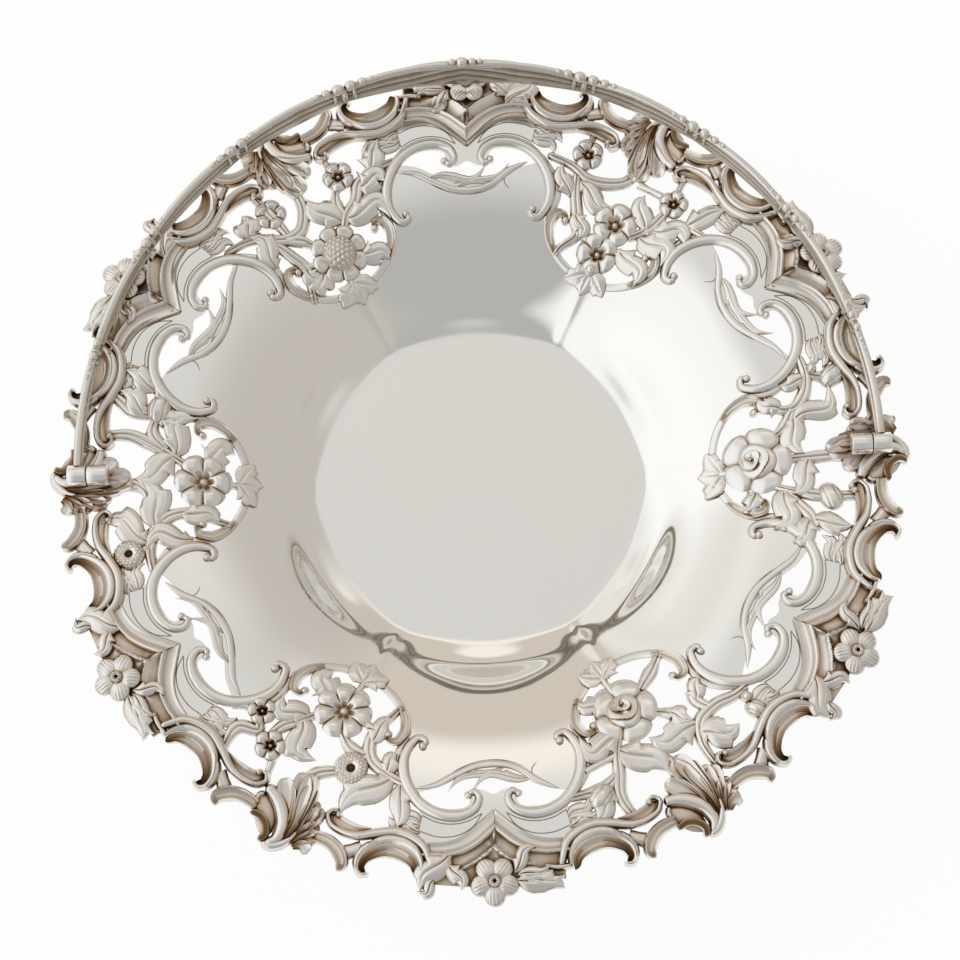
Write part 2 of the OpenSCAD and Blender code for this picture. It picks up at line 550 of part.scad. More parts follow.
// A strap from one angle of the bail to another
module strap(from, to, steps) {
  angles = [for (i = [0:steps]) from + (to - from) * i / steps];
  n = len(angles);
  m = len(BAIL_SECTION);
  function ring(a) = let (c = bail_point(a), o = bail_normal(a) * bail_thick(a) / 2)
    [for (v = BAIL_SECTION) [c[0] + v[0] * o[0], c[1] + v[0] * o[1], v[1] * bail_w(a) / 2]];
  sides = [for (i = [0:n - 2], j = [0:m - 1], k = [0, 1]) let (a = i * m + j, b = i * m + (j + 1) % m)
    k == 0 ? [a, b, b + m] : [a, b + m, a + m]];
  ends = [[for (j = [m - 1:-1:0]) j], [for (j = [0:m - 1]) (n - 1) * m + j]];
  translate([0, 0, hinge_z]) rotate([rest_tilt, 0, 0])
    polyhedron([for (a = angles) each ring(a)], concat(sides, ends));
}

module bail_arm(side) {
  color("lightgray") mirror([side, 0, 0]) strap(bail_start, CROWN_FROM, BAIL_STEPS);
}

module bail_crown() {
  color("whitesmoke") strap(CROWN_FROM, 180 - CROWN_FROM, CROWN_STEPS);
}

// The foot

module foot_skirt() {
  base_r = foot_base_r - border_w / 2;
  rise_h = foot_h - border_h;
  shares = [for (i = [0:FLARE_STEPS]) i / FLARE_STEPS];
  flare = [for (s = shares) [foot_top_r + (base_r - foot_top_r) * s ^ FLARE_POWER, foot_h - rise_h * s]];
  inner = [for (v = backwards(flare)) [v[0] - foot_wall, v[1]]];
  color("silver") rotate_extrude() polygon(concat(flare, inner));
}

module foot_border() {
  inner_r = foot_base_r - border_w;
  moulding = [for (v = BORDER_MOULDING) [foot_base_r - v[0] * border_w, v[1] * border_h]];
  color("lightgray") rotate_extrude() polygon(concat([[inner_r, 0]], moulding, [[inner_r, border_h]]));
}

bowl();
for (k = [0:LOBES - 1]) {
  floral_panel(k);
  rim_section(k);
  rim_shell(k);
  rim_flower(k);
}
for (side = [0, 1]) {
  hinge_lug(side);
  hinge_pin(side);
  handle_knuckle(side);
  bail_arm(side);
}
bail_crown();
foot_skirt();
foot_border();
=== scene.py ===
"""Dressed model of a lobed silver cake basket with pierced panels, a cast rim and a swing handle.

Every ornament on the gallery is placed by two numbers: degrees clockwise from the middle of its
panel or lobe, and percent of the way from the foot of the gallery to the rim. Lengths are in
millimetres until a mesh is made.
"""
import logging
import math
from dataclasses import dataclass, replace
from enum import Enum
from typing import Sequence

import bpy
import numpy as np
from mathutils import Matrix, Vector


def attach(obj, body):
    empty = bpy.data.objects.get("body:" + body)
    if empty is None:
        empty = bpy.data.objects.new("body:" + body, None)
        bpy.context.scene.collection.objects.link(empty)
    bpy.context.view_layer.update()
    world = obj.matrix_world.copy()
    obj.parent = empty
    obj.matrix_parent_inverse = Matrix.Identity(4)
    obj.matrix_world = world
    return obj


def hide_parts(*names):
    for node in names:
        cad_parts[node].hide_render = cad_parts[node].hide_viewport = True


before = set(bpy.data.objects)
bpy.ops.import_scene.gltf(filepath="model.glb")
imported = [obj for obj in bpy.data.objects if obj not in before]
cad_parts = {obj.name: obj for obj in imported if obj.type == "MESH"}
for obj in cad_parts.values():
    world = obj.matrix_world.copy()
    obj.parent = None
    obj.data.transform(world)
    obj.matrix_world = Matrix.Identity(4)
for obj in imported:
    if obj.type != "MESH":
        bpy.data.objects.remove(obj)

Array = np.ndarray
Places = Sequence[Sequence[float]]
Span = tuple[float, float]
Source = object

log = logging.getLogger("cake_basket")

MM = 0.001
# Recess value of undersides: tarnish where polishing reaches less than crowns, and painted shade under the
# ornament
UNDERSIDE_TARNISH_AND_SHADE = 0.4
# Depth below its foot at which an ornament is closed underneath
SINK = 0.6
# Share of a flower head's radius at which its first ring lies
POLE = 0.03
# Shares of an open flower's radius at which its rings lie
PETAL_RINGS = (0.02, 0.09, 0.14, 0.19, 0.25, 0.32, 0.4, 0.5, 0.6, 0.7, 0.8, 0.88, 0.95, 1.0)
# Numbers of the bowl's finishes: its sheet, its engraved lines and its chased relief
SHEET, LINES, RELIEF = range(3)
BASKET = "basket"
HANDLE = "handle"
LOBE_AXES = (30.0, 90.0, 150.0, 210.0, 270.0, 330.0)
PANEL_AXES = (0.0, 60.0, 120.0, 180.0, 240.0, 300.0)
SIDES = {"right": 0.0, "left": 180.0}
CREASE_ANGLE = 50.0

# Right half of the arched opening that takes a floral panel
ARCH = ((0, 10), (4, 10.8), (8, 14), (11, 19), (13, 25), (13.8, 31), (13.4, 38), (13.2, 44),
        (14.4, 51), (16.4, 57), (18.4, 62), (18.2, 68), (17.6, 74), (17, 100))
# Crescent that is pierced above the polished part of a lobe
CRESCENT = ((-12.2, 58), (-9.5, 61.5), (-6.5, 62), (-4, 60), (-3.7, 54), (-2, 52.6), (0, 55),
            (2, 52.6), (3.7, 54), (4, 60), (6.5, 62), (9.5, 61.5), (12.8, 57.5), (10, 53.5),
            (7, 49.5), (4, 46), (0, 44), (-4, 46.5), (-6.5, 50), (-9, 54.5))
# Leaves of sheet that cross the crescent: base, tip, width, bend
CRESCENT_LEAVES = (((-7, 49), (3.4, 53.2), 4, -0.16), ((-2, 43), (7.6, 54.5), 3, -0.1))


class FlowerKind(Enum):
    """Kinds of flower head on the floral panels."""

    OPEN = "open petals round a dark eye"
    ROSE = "folded petals in a spiral"
    DAISY = "pebbled dome inside cupped petals"
    BUTTON = "pebbled ring round a pierced eye"
    BUD = "closed bud with grooves"
    BERRY = "plain round berry"


OPEN, ROSE, DAISY, BUTTON, BUD, BERRY = FlowerKind


@dataclass(frozen=True)
class Flower:
    """One flower head: where it sits, its radius in millimetres, its petals and its kind.

    Its height and its base are in millimetres above the wall, and its turn is in degrees.
    """

    place: tuple[float, float]
    radius: float
    petals: int
    kind: FlowerKind
    height: float = 2.6
    base: float = 0.0
    turn: float = 0.0


@dataclass(frozen=True)
class PanelPlan:
    """Ornament of one floral panel, as places from the panel's middle.

    Leaves are given as base, tip, width and bend. The foot is the middle and the reach of the
    three leaves that lie over the bowl below the panel.
    """

    flowers: tuple[Flower, ...]
    stems: tuple[Places, ...]
    leaves: tuple[tuple, ...]
    foot: tuple[float, float]


PANELS = (
    PanelPlan(
        flowers=(Flower((1, 31), 10.5, 6, ROSE), Flower((-12.1, 72.4), 4.2, 4, BUD),
                 Flower((-14.1, 64), 2.2, 0, BERRY), Flower((7.8, 65), 4.6, 5, BUD)),
        stems=(((0.4, 74), (0.8, 55), (1, 40)),
               ((-17, 60.5), (-13, 60.5), (-10, 57), (-8.3, 51), (-8.6, 45.5), (-11.6, 38)),
               ((-8.3, 51), (-5, 45), (-3.5, 38)), ((7.2, 76), (7.7, 60), (6.8, 44), (6, 37)),
               ((6.8, 43), (9.5, 50), (12, 57), (17, 58.5)), ((-12, 76), (-12.4, 68), (-13.6, 60.5)),
               ((2.5, 24), (3, 13)), ((7, 29), (12.6, 27))),
        leaves=(((-6.2, 50), (-10.5, 67), 4.5, -0.28), ((-7, 50), (-0.6, 53), 5, -0.15),
                ((0.8, 55.5), (7.2, 48), 5, 0.12), ((6.8, 43.5), (14.2, 41), 5.5, 0.22),
                ((12, 57), (16.4, 51), 5, 0.15), ((12.2, 57), (12.4, 74), 4.6, -0.05),
                ((-13, 60), (-13, 49), 3.6, 0.1), ((-8.6, 46), (-11.3, 37), 4, 0.1),
                ((7.5, 31), (11.6, 28), 4, 0)),
        foot=(3.2, 6)),
    PanelPlan(
        flowers=(Flower((0.4, 40), 8, 5, OPEN), Flower((-0.2, 24), 7.5, 5, OPEN),
                 Flower((0, 15.8), 2.6, 0, BERRY), Flower((-9.1, 67), 5.8, 5, OPEN),
                 Flower((7.9, 62.4), 5.5, 5, OPEN)),
        stems=(((-0.4, 74), (-1.8, 61), (-4, 57.5), (-7.5, 55.8), (-11, 59.5), (-16, 62)),
               ((0.6, 63.6), (5.6, 63.5)),
               ((-10, 57), (-8.9, 46), (-7.2, 36), (-6.2, 29), (-8.9, 20), (-9.6, 16)),
               ((7.6, 58), (6.6, 46), (4, 37)), ((6.3, 43), (9, 50), (12, 56), (16.6, 58)),
               ((-9.3, 71), (-9.3, 77)), ((7.4, 66), (6.8, 75)), ((-6.4, 30), (-3, 28)),
               ((0, 18), (0, 12)), ((3, 29), (8, 29), (12, 25))),
        leaves=(((-9, 53), (-1.8, 48), 4.5, -0.15), ((-9.8, 45), (-12.4, 57), 4, 0.12),
                ((-8, 38), (-5.8, 28), 4, 0.2), ((6.4, 44), (3.2, 58), 4.6, 0.12),
                ((6, 40), (12.4, 34), 5.5, 0.3), ((7.2, 46), (13.6, 48), 5.5, 0.25),
                ((12, 56), (15.2, 72.5), 5, 0.05), ((3.5, 30.5), (10.2, 20), 5, 0.22)),
        foot=(0.2, 5.6)),
    PanelPlan(
        flowers=(Flower((0.3, 29.7), 10.2, 8, DAISY), Flower((-6.4, 63.6), 5.8, 5, OPEN),
                 Flower((7, 63.3), 5.8, 5, OPEN)),
        stems=(((-0.8, 74), (-1.4, 56), (-3.9, 49), (-7.5, 50), (-10, 56), (-13, 60), (-17.4, 63)),
               ((-7.5, 49.5), (-4.5, 44), (-3, 38)),
               ((-9.6, 54), (-8.2, 41), (-7.5, 32.4), (-9.4, 23.5), (-11.2, 17)),
               ((3.4, 38), (5.2, 44), (8.4, 50), (9.7, 55.8), (12.5, 59), (17.4, 61)),
               ((4.8, 44), (4.6, 52), (5.8, 59)), ((-6.2, 49.6), (-6.5, 66), (-7, 77)),
               ((6.4, 68), (5.8, 77)), ((-7.4, 33), (-5, 31)), ((-0.4, 20), (-0.6, 12))),
        leaves=(((-12, 60), (-10.6, 70), 6, -0.1), ((-12.2, 41), (-12.2, 58.5), 5, -0.2),
                ((4.2, 42), (0.8, 58.5), 6, 0.1), ((9.6, 54), (14, 52), 6, 0.25),
                ((12.5, 59), (15.2, 71.5), 5.5, 0.08), ((5, 43), (12.4, 35), 5.5, 0.3),
                ((4.4, 25), (9.6, 18), 5, 0.15), ((-7.6, 32), (-8.6, 23), 4.5, 0.15),
                ((-5, 26), (-7.5, 18), 5, -0.15)),
        foot=(-0.6, 5.4)),
    PanelPlan(
        flowers=(Flower((-0.3, 31.3), 9.8, 6, OPEN), Flower((-12.8, 68.6), 5.4, 0, BUTTON),
                 Flower((12.5, 54.7), 4.6, 5, BUD)),
        stems=(((-17, 60), (-12, 58.5), (-9, 54.5), (-7.2, 48.5), (-6.6, 39), (-8.9, 27), (-10.8, 19)),
               ((-0.4, 74), (-1.8, 58.5), (-5, 56)), ((7, 76), (7.5, 66), (6, 54), (4.5, 45.5), (2.6, 38)),
               ((5.5, 48.5), (8.3, 56), (12, 55)), ((13.8, 76), (11.2, 60), (11.8, 56)),
               ((14, 56), (17, 59)), ((-12.7, 63.6), (-12, 58)), ((-12.6, 72), (-12.3, 77)),
               ((-6.8, 36), (-4, 34)), ((-0.8, 22), (-0.8, 12))),
        leaves=(((-11.4, 59), (-7.4, 77), 6, -0.18), ((-9, 54.5), (-1.4, 58.5), 6, -0.15),
                ((4.6, 44.5), (0.6, 61), 6, 0.12), ((11, 60), (13.8, 73), 5, -0.12),
                ((15.5, 58.5), (17.2, 73), 4.5, -0.1), ((4.5, 44.5), (11.6, 37), 5.5, 0.3),
                ((10.6, 55), (12.2, 43), 4.5, -0.1), ((-6.8, 42), (-9.2, 27), 5, 0.12),
                ((-12.4, 39), (-12.6, 58), 5, -0.25), ((4, 31), (6.4, 19), 6, 0.2)),
        foot=(-0.6, 5.6)),
    PanelPlan(
        flowers=(Flower((0.7, 31.3), 9.8, 7, OPEN), Flower((7.9, 63), 5.4, 5, OPEN),
                 Flower((12.6, 53), 4.9, 5, OPEN), Flower((-5.5, 54.1), 5.8, 0, BUTTON)),
        stems=(((-15.4, 54), (-11.5, 51), (-8, 46.5), (-6.6, 38), (-8.5, 26), (-10.2, 18)),
               ((-8, 46.5), (-4, 45.5), (-0.6, 40)), ((-4.4, 56), (-0.4, 64), (0, 74)),
               ((5.2, 76), (6.4, 67)), ((9, 59), (8.2, 52), (6.6, 46), (4.4, 38)),
               ((12, 57), (11, 60), (13.6, 65), (13, 76)), ((14, 55), (16.4, 58)),
               ((-7.6, 33), (-4, 32)), ((0.4, 22), (0, 12))),
        leaves=(((-14.4, 54), (-15.4, 72), 4.5, 0.05), ((-13, 52), (-7.4, 72.5), 6.5, -0.12),
                ((6.4, 44), (1, 56), 5.5, -0.25), ((5.6, 42), (11.2, 41), 5, 0.3),
                ((-7, 40), (-9, 27), 4, 0.1), ((-11.4, 51), (-12.2, 42), 4, 0.1),
                ((4.4, 30), (7, 19), 6, 0.25)),
        foot=(0.2, 5)),
    PanelPlan(
        flowers=(Flower((2.7, 33.5), 9.8, 6, ROSE), Flower((-14.8, 71), 3.4, 4, BUD),
                 Flower((-15.2, 64), 2.3, 0, BERRY), Flower((12.9, 65.2), 4.4, 5, BUD)),
        stems=(((-17, 61), (-14.5, 60), (-11, 56.5), (-7, 58), (-5.5, 64), (-4.9, 77)),
               ((-10, 56), (-9.2, 49), (-11.8, 40)),
               ((9.3, 77), (10, 67), (8.8, 58), (7.4, 48), (5, 40)),
               ((8.8, 58), (11.5, 61.5), (18, 62)), ((-6, 57), (-4.5, 47), (-1.5, 40)),
               ((-14.8, 77), (-15.2, 62)), ((0.4, 74), (1.2, 62), (4, 57)), ((7.8, 50), (14.2, 52)),
               ((2.5, 24), (2.8, 12)), ((-2.5, 29), (-8, 24), (-11, 21))),
        leaves=(((-5.8, 61), (-10.8, 69), 6, -0.15), ((-6.6, 57.5), (0.6, 50.5), 6, 0.15),
                ((7.4, 48), (2.3, 66), 6.5, 0.1), ((5.6, 43), (12.2, 36), 5.5, 0.32),
                ((-9.2, 49), (-12, 43), 4, 0.1), ((-4.2, 45), (-6.2, 53.5), 4.5, -0.1),
                ((11.2, 61), (14.8, 74), 5, 0.1), ((6, 27), (10, 21), 4.5, 0.1)),
        foot=(2.6, 5)),
)


def linear(colour: str) -> tuple[float, float, float, float]:
    """Turn an sRGB hex colour into linear red, green, blue and full alpha.

    Args:
        colour: six hex digits after a hash sign.

    Returns:
        Linear components, by the sRGB curve.
    """
    parts = np.array([int(colour[i:i + 2], 16) for i in (1, 3, 5)]) / 255
    curve = np.where(parts <= 0.04045, parts / 12.92, ((parts + 0.055) / 1.055) ** 2.4)
    return (*curve.tolist(), 1.0)


def add_node(tree: bpy.types.NodeTree, kind: str, settings: dict[str, Source] | None = None,
             inputs: dict[str | int, Source] | None = None) -> bpy.types.Node:
    """Add a node with its settings, and fill or link its inputs.

    Args:
        tree: node tree of a material or of the world.
        kind: Blender's name for the kind of node.
        settings: properties of the node itself.
        inputs: values or output sockets for its inputs, by name or number.

    Returns:
        The new node.
    """
    node = tree.nodes.new(kind)
    for name, value in (settings or {}).items():
        setattr(node, name, value)
    for socket, value in (inputs or {}).items():
        if isinstance(value, bpy.types.NodeSocket):
            tree.links.new(value, node.inputs[socket])
        else:
            node.inputs[socket].default_value = value
    return node


def ramp(tree: bpy.types.NodeTree, value: Source, span: Span = (0.0, 1.0), to: Span = (0.0, 1.0),
         curve: str = "LINEAR") -> bpy.types.NodeSocket:
    """Map a value from one span to another, held at both ends.

    Args:
        tree: node tree.
        value: value or socket.
        span: values between which the result changes.
        to: results at those values.
        curve: Blender's name for the way between them.

    Returns:
        Socket of the result.
    """
    inputs = {"Value": value, "From Min": span[0], "From Max": span[1], "To Min": to[0], "To Max": to[1]}
    return add_node(tree, "ShaderNodeMapRange", {"interpolation_type": curve}, inputs).outputs[0]


def work_out(tree: bpy.types.NodeTree, operation: str, one: Source, other: Source,
             clamp: bool = False) -> bpy.types.NodeSocket:
    """Socket of a sum, product or greater of two values, held between 0 and 1 if clamped."""
    settings = {"operation": operation, "use_clamp": clamp}
    return add_node(tree, "ShaderNodeMath", settings, {0: one, 1: other}).outputs[0]


def mix(tree: bpy.types.NodeTree, share: Source, under: Source, over: Source) -> bpy.types.NodeSocket:
    """Socket of a colour mixed from two by the share of the second."""
    return add_node(tree, "ShaderNodeMix", {"data_type": "RGBA"}, {0: share, 6: under, 7: over}).outputs[2]


def noise(tree: bpy.types.NodeTree, place: Source, size: float, detail: float,
          roughness: float = 0.5) -> bpy.types.NodeSocket:
    """Socket of a noise with lumps of a size in millimetres."""
    inputs = {"Vector": place, "Scale": 1 / (size * MM), "Detail": detail, "Roughness": roughness}
    return add_node(tree, "ShaderNodeTexNoise", None, inputs).outputs["Fac"]


def bump(tree: bpy.types.NodeTree, height: Source, depth: float,
         under: bpy.types.NodeSocket | None = None) -> bpy.types.NodeSocket:
    """Normal of a surface that a height field roughens.

    Args:
        tree: node tree.
        height: socket of the field, from 0 to 1.
        depth: its depth in millimetres.
        under: normal that it is added to, if not the mesh's own.

    Returns:
        Socket of the normal.
    """
    inputs = {"Strength": 1.0, "Distance": depth * MM, "Height": height}
    if under is not None:
        inputs["Normal"] = under
    return add_node(tree, "ShaderNodeBump", None, inputs).outputs["Normal"]


def smooth_path(points: Array, count: int) -> Array:
    """Even points on a smooth curve through the given ones.

    Between two given points the curve is a cubic whose end slopes are those of the chord from
    neighbour to neighbour, and it is then divided into equal lengths.

    Args:
        points: given points, one a row.
        count: number of points wanted.

    Returns:
        The points on the curve, one a row.
    """
    points = np.asarray(points, float)
    span = np.linalg.norm(np.diff(points, axis=0), axis=1)
    knot = np.concatenate([[0.0], np.cumsum(span)])
    slope = np.gradient(points, knot, axis=0) if len(points) > 2 else np.repeat(
        np.diff(points, axis=0) / span, 2, axis=0)

    def at(way: Array) -> Array:
        """Points on the curve.

        Args:
            way: lengths along the chords.

        Returns:
            Points, one a row.
        """
        i = np.clip(np.searchsorted(knot, way, side="right") - 1, 0, len(span) - 1)
        run = span[i][:, None]
        x = ((way - knot[i]) / span[i])[:, None]
        return ((1 + 2 * x) * (1 - x) ** 2 * points[i] + x * (1 - x) ** 2 * run * slope[i]
                + x ** 2 * (3 - 2 * x) * points[i + 1] + x ** 2 * (x - 1) * run * slope[i + 1])

    way = np.linspace(0, knot[-1], 12 * count)
    fine = at(way)
    length = np.concatenate([[0.0], np.cumsum(np.linalg.norm(np.diff(fine, axis=0), axis=1))])
    return at(np.interp(np.linspace(0, length[-1], count), length, way))


def mirrored(places: Places) -> tuple[tuple[float, float], ...]:
    """The same places on the other side of the middle."""
    return tuple((-u, p) for u, p in places)


def across(path: Array) -> Array:
    """Unit vectors in plan that point to the right of a path's direction of travel."""
    way = np.gradient(path, axis=0)
    way /= np.maximum(np.linalg.norm(way, axis=1, keepdims=True), 1e-9)
    return np.stack([way[:, 1], -way[:, 0]], axis=1)


def inside_distance(points: Array, outline: Array) -> Array:
    """Distance of points from a closed outline in plan, positive inside it.

    The distance is the least one to the outline's straight runs, and a point is inside where a
    ray from it crosses the outline an odd number of times.

    Args:
        points: points in plan, one a row.
        outline: corners of the outline in order.

    Returns:
        One signed distance a point.
    """
    start, end = outline, np.roll(outline, -1, axis=0)
    run = end - start
    rel = points[:, None] - start
    share = np.clip((rel * run).sum(-1) / np.maximum((run ** 2).sum(-1), 1e-12), 0, 1)
    distance = np.linalg.norm(rel - share[..., None] * run, axis=-1).min(axis=1)
    px, py = points[:, :1], points[:, 1:]
    spans = (start[:, 1] > py) != (end[:, 1] > py)
    rise = np.where(run[:, 1] == 0, 1e-9, run[:, 1])
    crossed = spans & (px < run[:, 0] * (py - start[:, 1]) / rise + start[:, 0])
    return np.where(crossed.sum(axis=1) % 2 == 1, distance, -distance)


@dataclass(frozen=True)
class Silver:
    """A silver surface: its name, the name of a slot, and its colour."""

    name: str
    slot: str
    colour: str

    def material(self) -> bpy.types.Material:
        """The surface as a material, which is built when it is first asked for.

        Returns:
            The material, with its nodes.
        """
        known = bpy.data.materials.get(self.name)
        if known:
            return known
        material = bpy.data.materials.new(self.name)
        material.use_nodes = True
        shader = material.node_tree.nodes["Principled BSDF"]
        shader.inputs["Metallic"].default_value = 1.0
        for name, socket in self.dress(material.node_tree).items():
            material.node_tree.links.new(socket, shader.inputs[name])
        return material

    def dress(self, tree: bpy.types.NodeTree) -> dict[str, bpy.types.NodeSocket]:
        """Sockets that a kind of silver has for the metal shader's inputs, by their names."""
        raise NotImplementedError


@dataclass(frozen=True)
class Finish(Silver):
    """Worked silver: its polish, and the bloom and tarnish that polishing leaves in hollows, darkened
    further there by painted shade.
    """

    # Bloom and tarnish colours, which hollows take both as real tarnish and as painted shade
    bloom: str
    tarnish_and_shade: str
    roughness: float
    hollow_roughness: float
    # Distance over which ambient occlusion looks for nearby surfaces, for the painted shade
    shade_reach: float
    grain: float
    grain_depth: float
    recess_weight: float = 0.36
    # Occlusion values between which the painted shade sets in and is full
    occlusion_shade_span: Span = (0.86, 0.1)
    bloom_and_shade_span: Span = (0.0, 0.55)
    tarnish_and_shade_span: Span = (0.5, 1.0)

    def dress(self, tree: bpy.types.NodeTree) -> dict[str, bpy.types.NodeSocket]:
        """Colour, roughness and grain.

        The hollows are found in two ways: the mesh's own recess values, and how much of the sky
        a point's near neighbourhood hides, which is painted shade. Their share turns the silver to a
        tan bloom half way, and then to dark tarnish, and dulls it; the darkening is tarnish and painted
        shade.

        Args:
            tree: the material's nodes.

        Returns:
            Sockets for the metal shader's inputs.
        """
        recess = add_node(tree, "ShaderNodeAttribute", {"attribute_name": "recess"}).outputs["Fac"]
        # Painted shade: ambient occlusion darkens the colour where nearby surfaces hide the sky
        occlusion_shade = add_node(tree, "ShaderNodeAmbientOcclusion", {"samples": 8},
                          {"Distance": self.shade_reach * MM})
        near = ramp(tree, occlusion_shade.outputs["AO"], self.occlusion_shade_span)
        share = work_out(tree, "ADD", near, work_out(tree, "MULTIPLY", recess, self.recess_weight), True)
        tan_bloom_and_shade = mix(tree, ramp(tree, share, self.bloom_and_shade_span), linear(self.colour), linear(self.bloom))
        colour = mix(tree, ramp(tree, share, self.tarnish_and_shade_span), tan_bloom_and_shade, linear(self.tarnish_and_shade))
        place = add_node(tree, "ShaderNodeTexCoord").outputs["Object"]
        return {"Base Color": colour,
                "Roughness": ramp(tree, share, to=(self.roughness, self.hollow_roughness)),
                "Normal": bump(tree, noise(tree, place, self.grain, 2.0), self.grain_depth)}


@dataclass(frozen=True)
class SheetFinish(Silver):
    """Hand-raised silver sheet: burnished lobes round a floor that use has turned to satin."""

    burnished: float
    satin: float
    ripple: float
    ripple_depth: float
    scratch: float
    scratch_depth: float
    scratch_turn: float = 0.6
    scratch_draw: float = 9.0

    def dress(self, tree: bpy.types.NodeTree) -> dict[str, bpy.types.NodeSocket]:
        """Colour, roughness, ripple and scratches.

        The mesh's satin values raise the roughness and bring in the scratches. A long soft
        ripple stands for the marks of the planishing hammer, which break up the reflections.

        Args:
            tree: the material's nodes.

        Returns:
            Sockets for the metal shader's inputs.
        """
        tree.nodes["Principled BSDF"].inputs["Base Color"].default_value = linear(self.colour)
        satin = add_node(tree, "ShaderNodeAttribute", {"attribute_name": "recess"}).outputs["Fac"]
        place = add_node(tree, "ShaderNodeTexCoord").outputs["Object"]
        soft = bump(tree, noise(tree, place, self.ripple, 0.0), self.ripple_depth)
        drawn = add_node(tree, "ShaderNodeMapping", None,
                         {"Vector": place, "Rotation": (0.0, 0.0, self.scratch_turn),
                          "Scale": (1.0, self.scratch_draw, 1.0)})
        lines = noise(tree, drawn.outputs["Vector"], self.scratch, 3.0, 0.7)
        marks = work_out(tree, "MULTIPLY", lines, satin)
        return {"Roughness": ramp(tree, satin, to=(self.burnished, self.satin)),
                "Normal": bump(tree, marks, self.scratch_depth, soft)}


# Sheet silver, raised over stakes and burnished: a bright mirror, with a floor rubbed to satin
RAISED = SheetFinish("raised_sheet_silver", "raised_silver", "#F4F3F0", 0.05, 0.36, 26.0, 0.2, 3.0, 0.02)
# Sheet silver, pierced and chased: bright on its crowns, with a tan bloom of tarnish and painted shade in
# the tool marks
CHASED = Finish("chased_sheet_silver", "chased_silver", "#ECEAE7", "#C6AF92", "#7A634A",
                0.18, 0.38, 3.0, 1.4, 0.02)
# Cast and chased silver: a little softer than sheet, with deeper brown tarnish and painted shade in its
# hollows
CAST = Finish("cast_ornament_silver", "cast_silver", "#EAE7E3", "#B99F80", "#7C664E",
              0.2, 0.4, 4.0, 1.2, 0.03)
# Cast silver of the foot's moulding: plain and rubbed bright, with hardly any tarnish and painted shade
MOULDED = Finish("moulded_cast_silver", "cast_silver", "#EDEAE6", "#D0C0AC", "#AB9982",
                 0.2, 0.34, 1.5, 1.2, 0.02)
# Cast silver of the handle: a shade greyer, and duller and darker between its mouldings, with heavier
# tarnish and painted shade there
HANDLED = Finish("handled_cast_silver", "handle_silver", "#E8E4DE", "#A79883", "#66553F",
                 0.22, 0.42, 3.0, 1.6, 0.03, 0.6)
# Turned silver of the hinge barrels: smooth and bright, with dark tarnish and painted shade only in the
# turned lines
TURNED = Finish("turned_silver", "barrel_silver", "#F3F1EE", "#C2B29E", "#5A4A3C",
                0.2, 0.4, 1.2, 2.0, 0.01)
# Drawn silver wire of the pins: grey, with fine draw marks
DRAWN = Finish("drawn_silver_wire", "pin_silver", "#DAD7D3", "#A89A88", "#5A4E44",
               0.3, 0.4, 1.0, 0.6, 0.01)
# Engraved lines: cut by a graver and filled with tarnish, so they read as dark hair lines
ENGRAVED = Finish("engraved_line", "raised_silver", "#A89E93", "#8E8275", "#6F6458",
                  0.4, 0.5, 1.0, 1.0, 0.0)


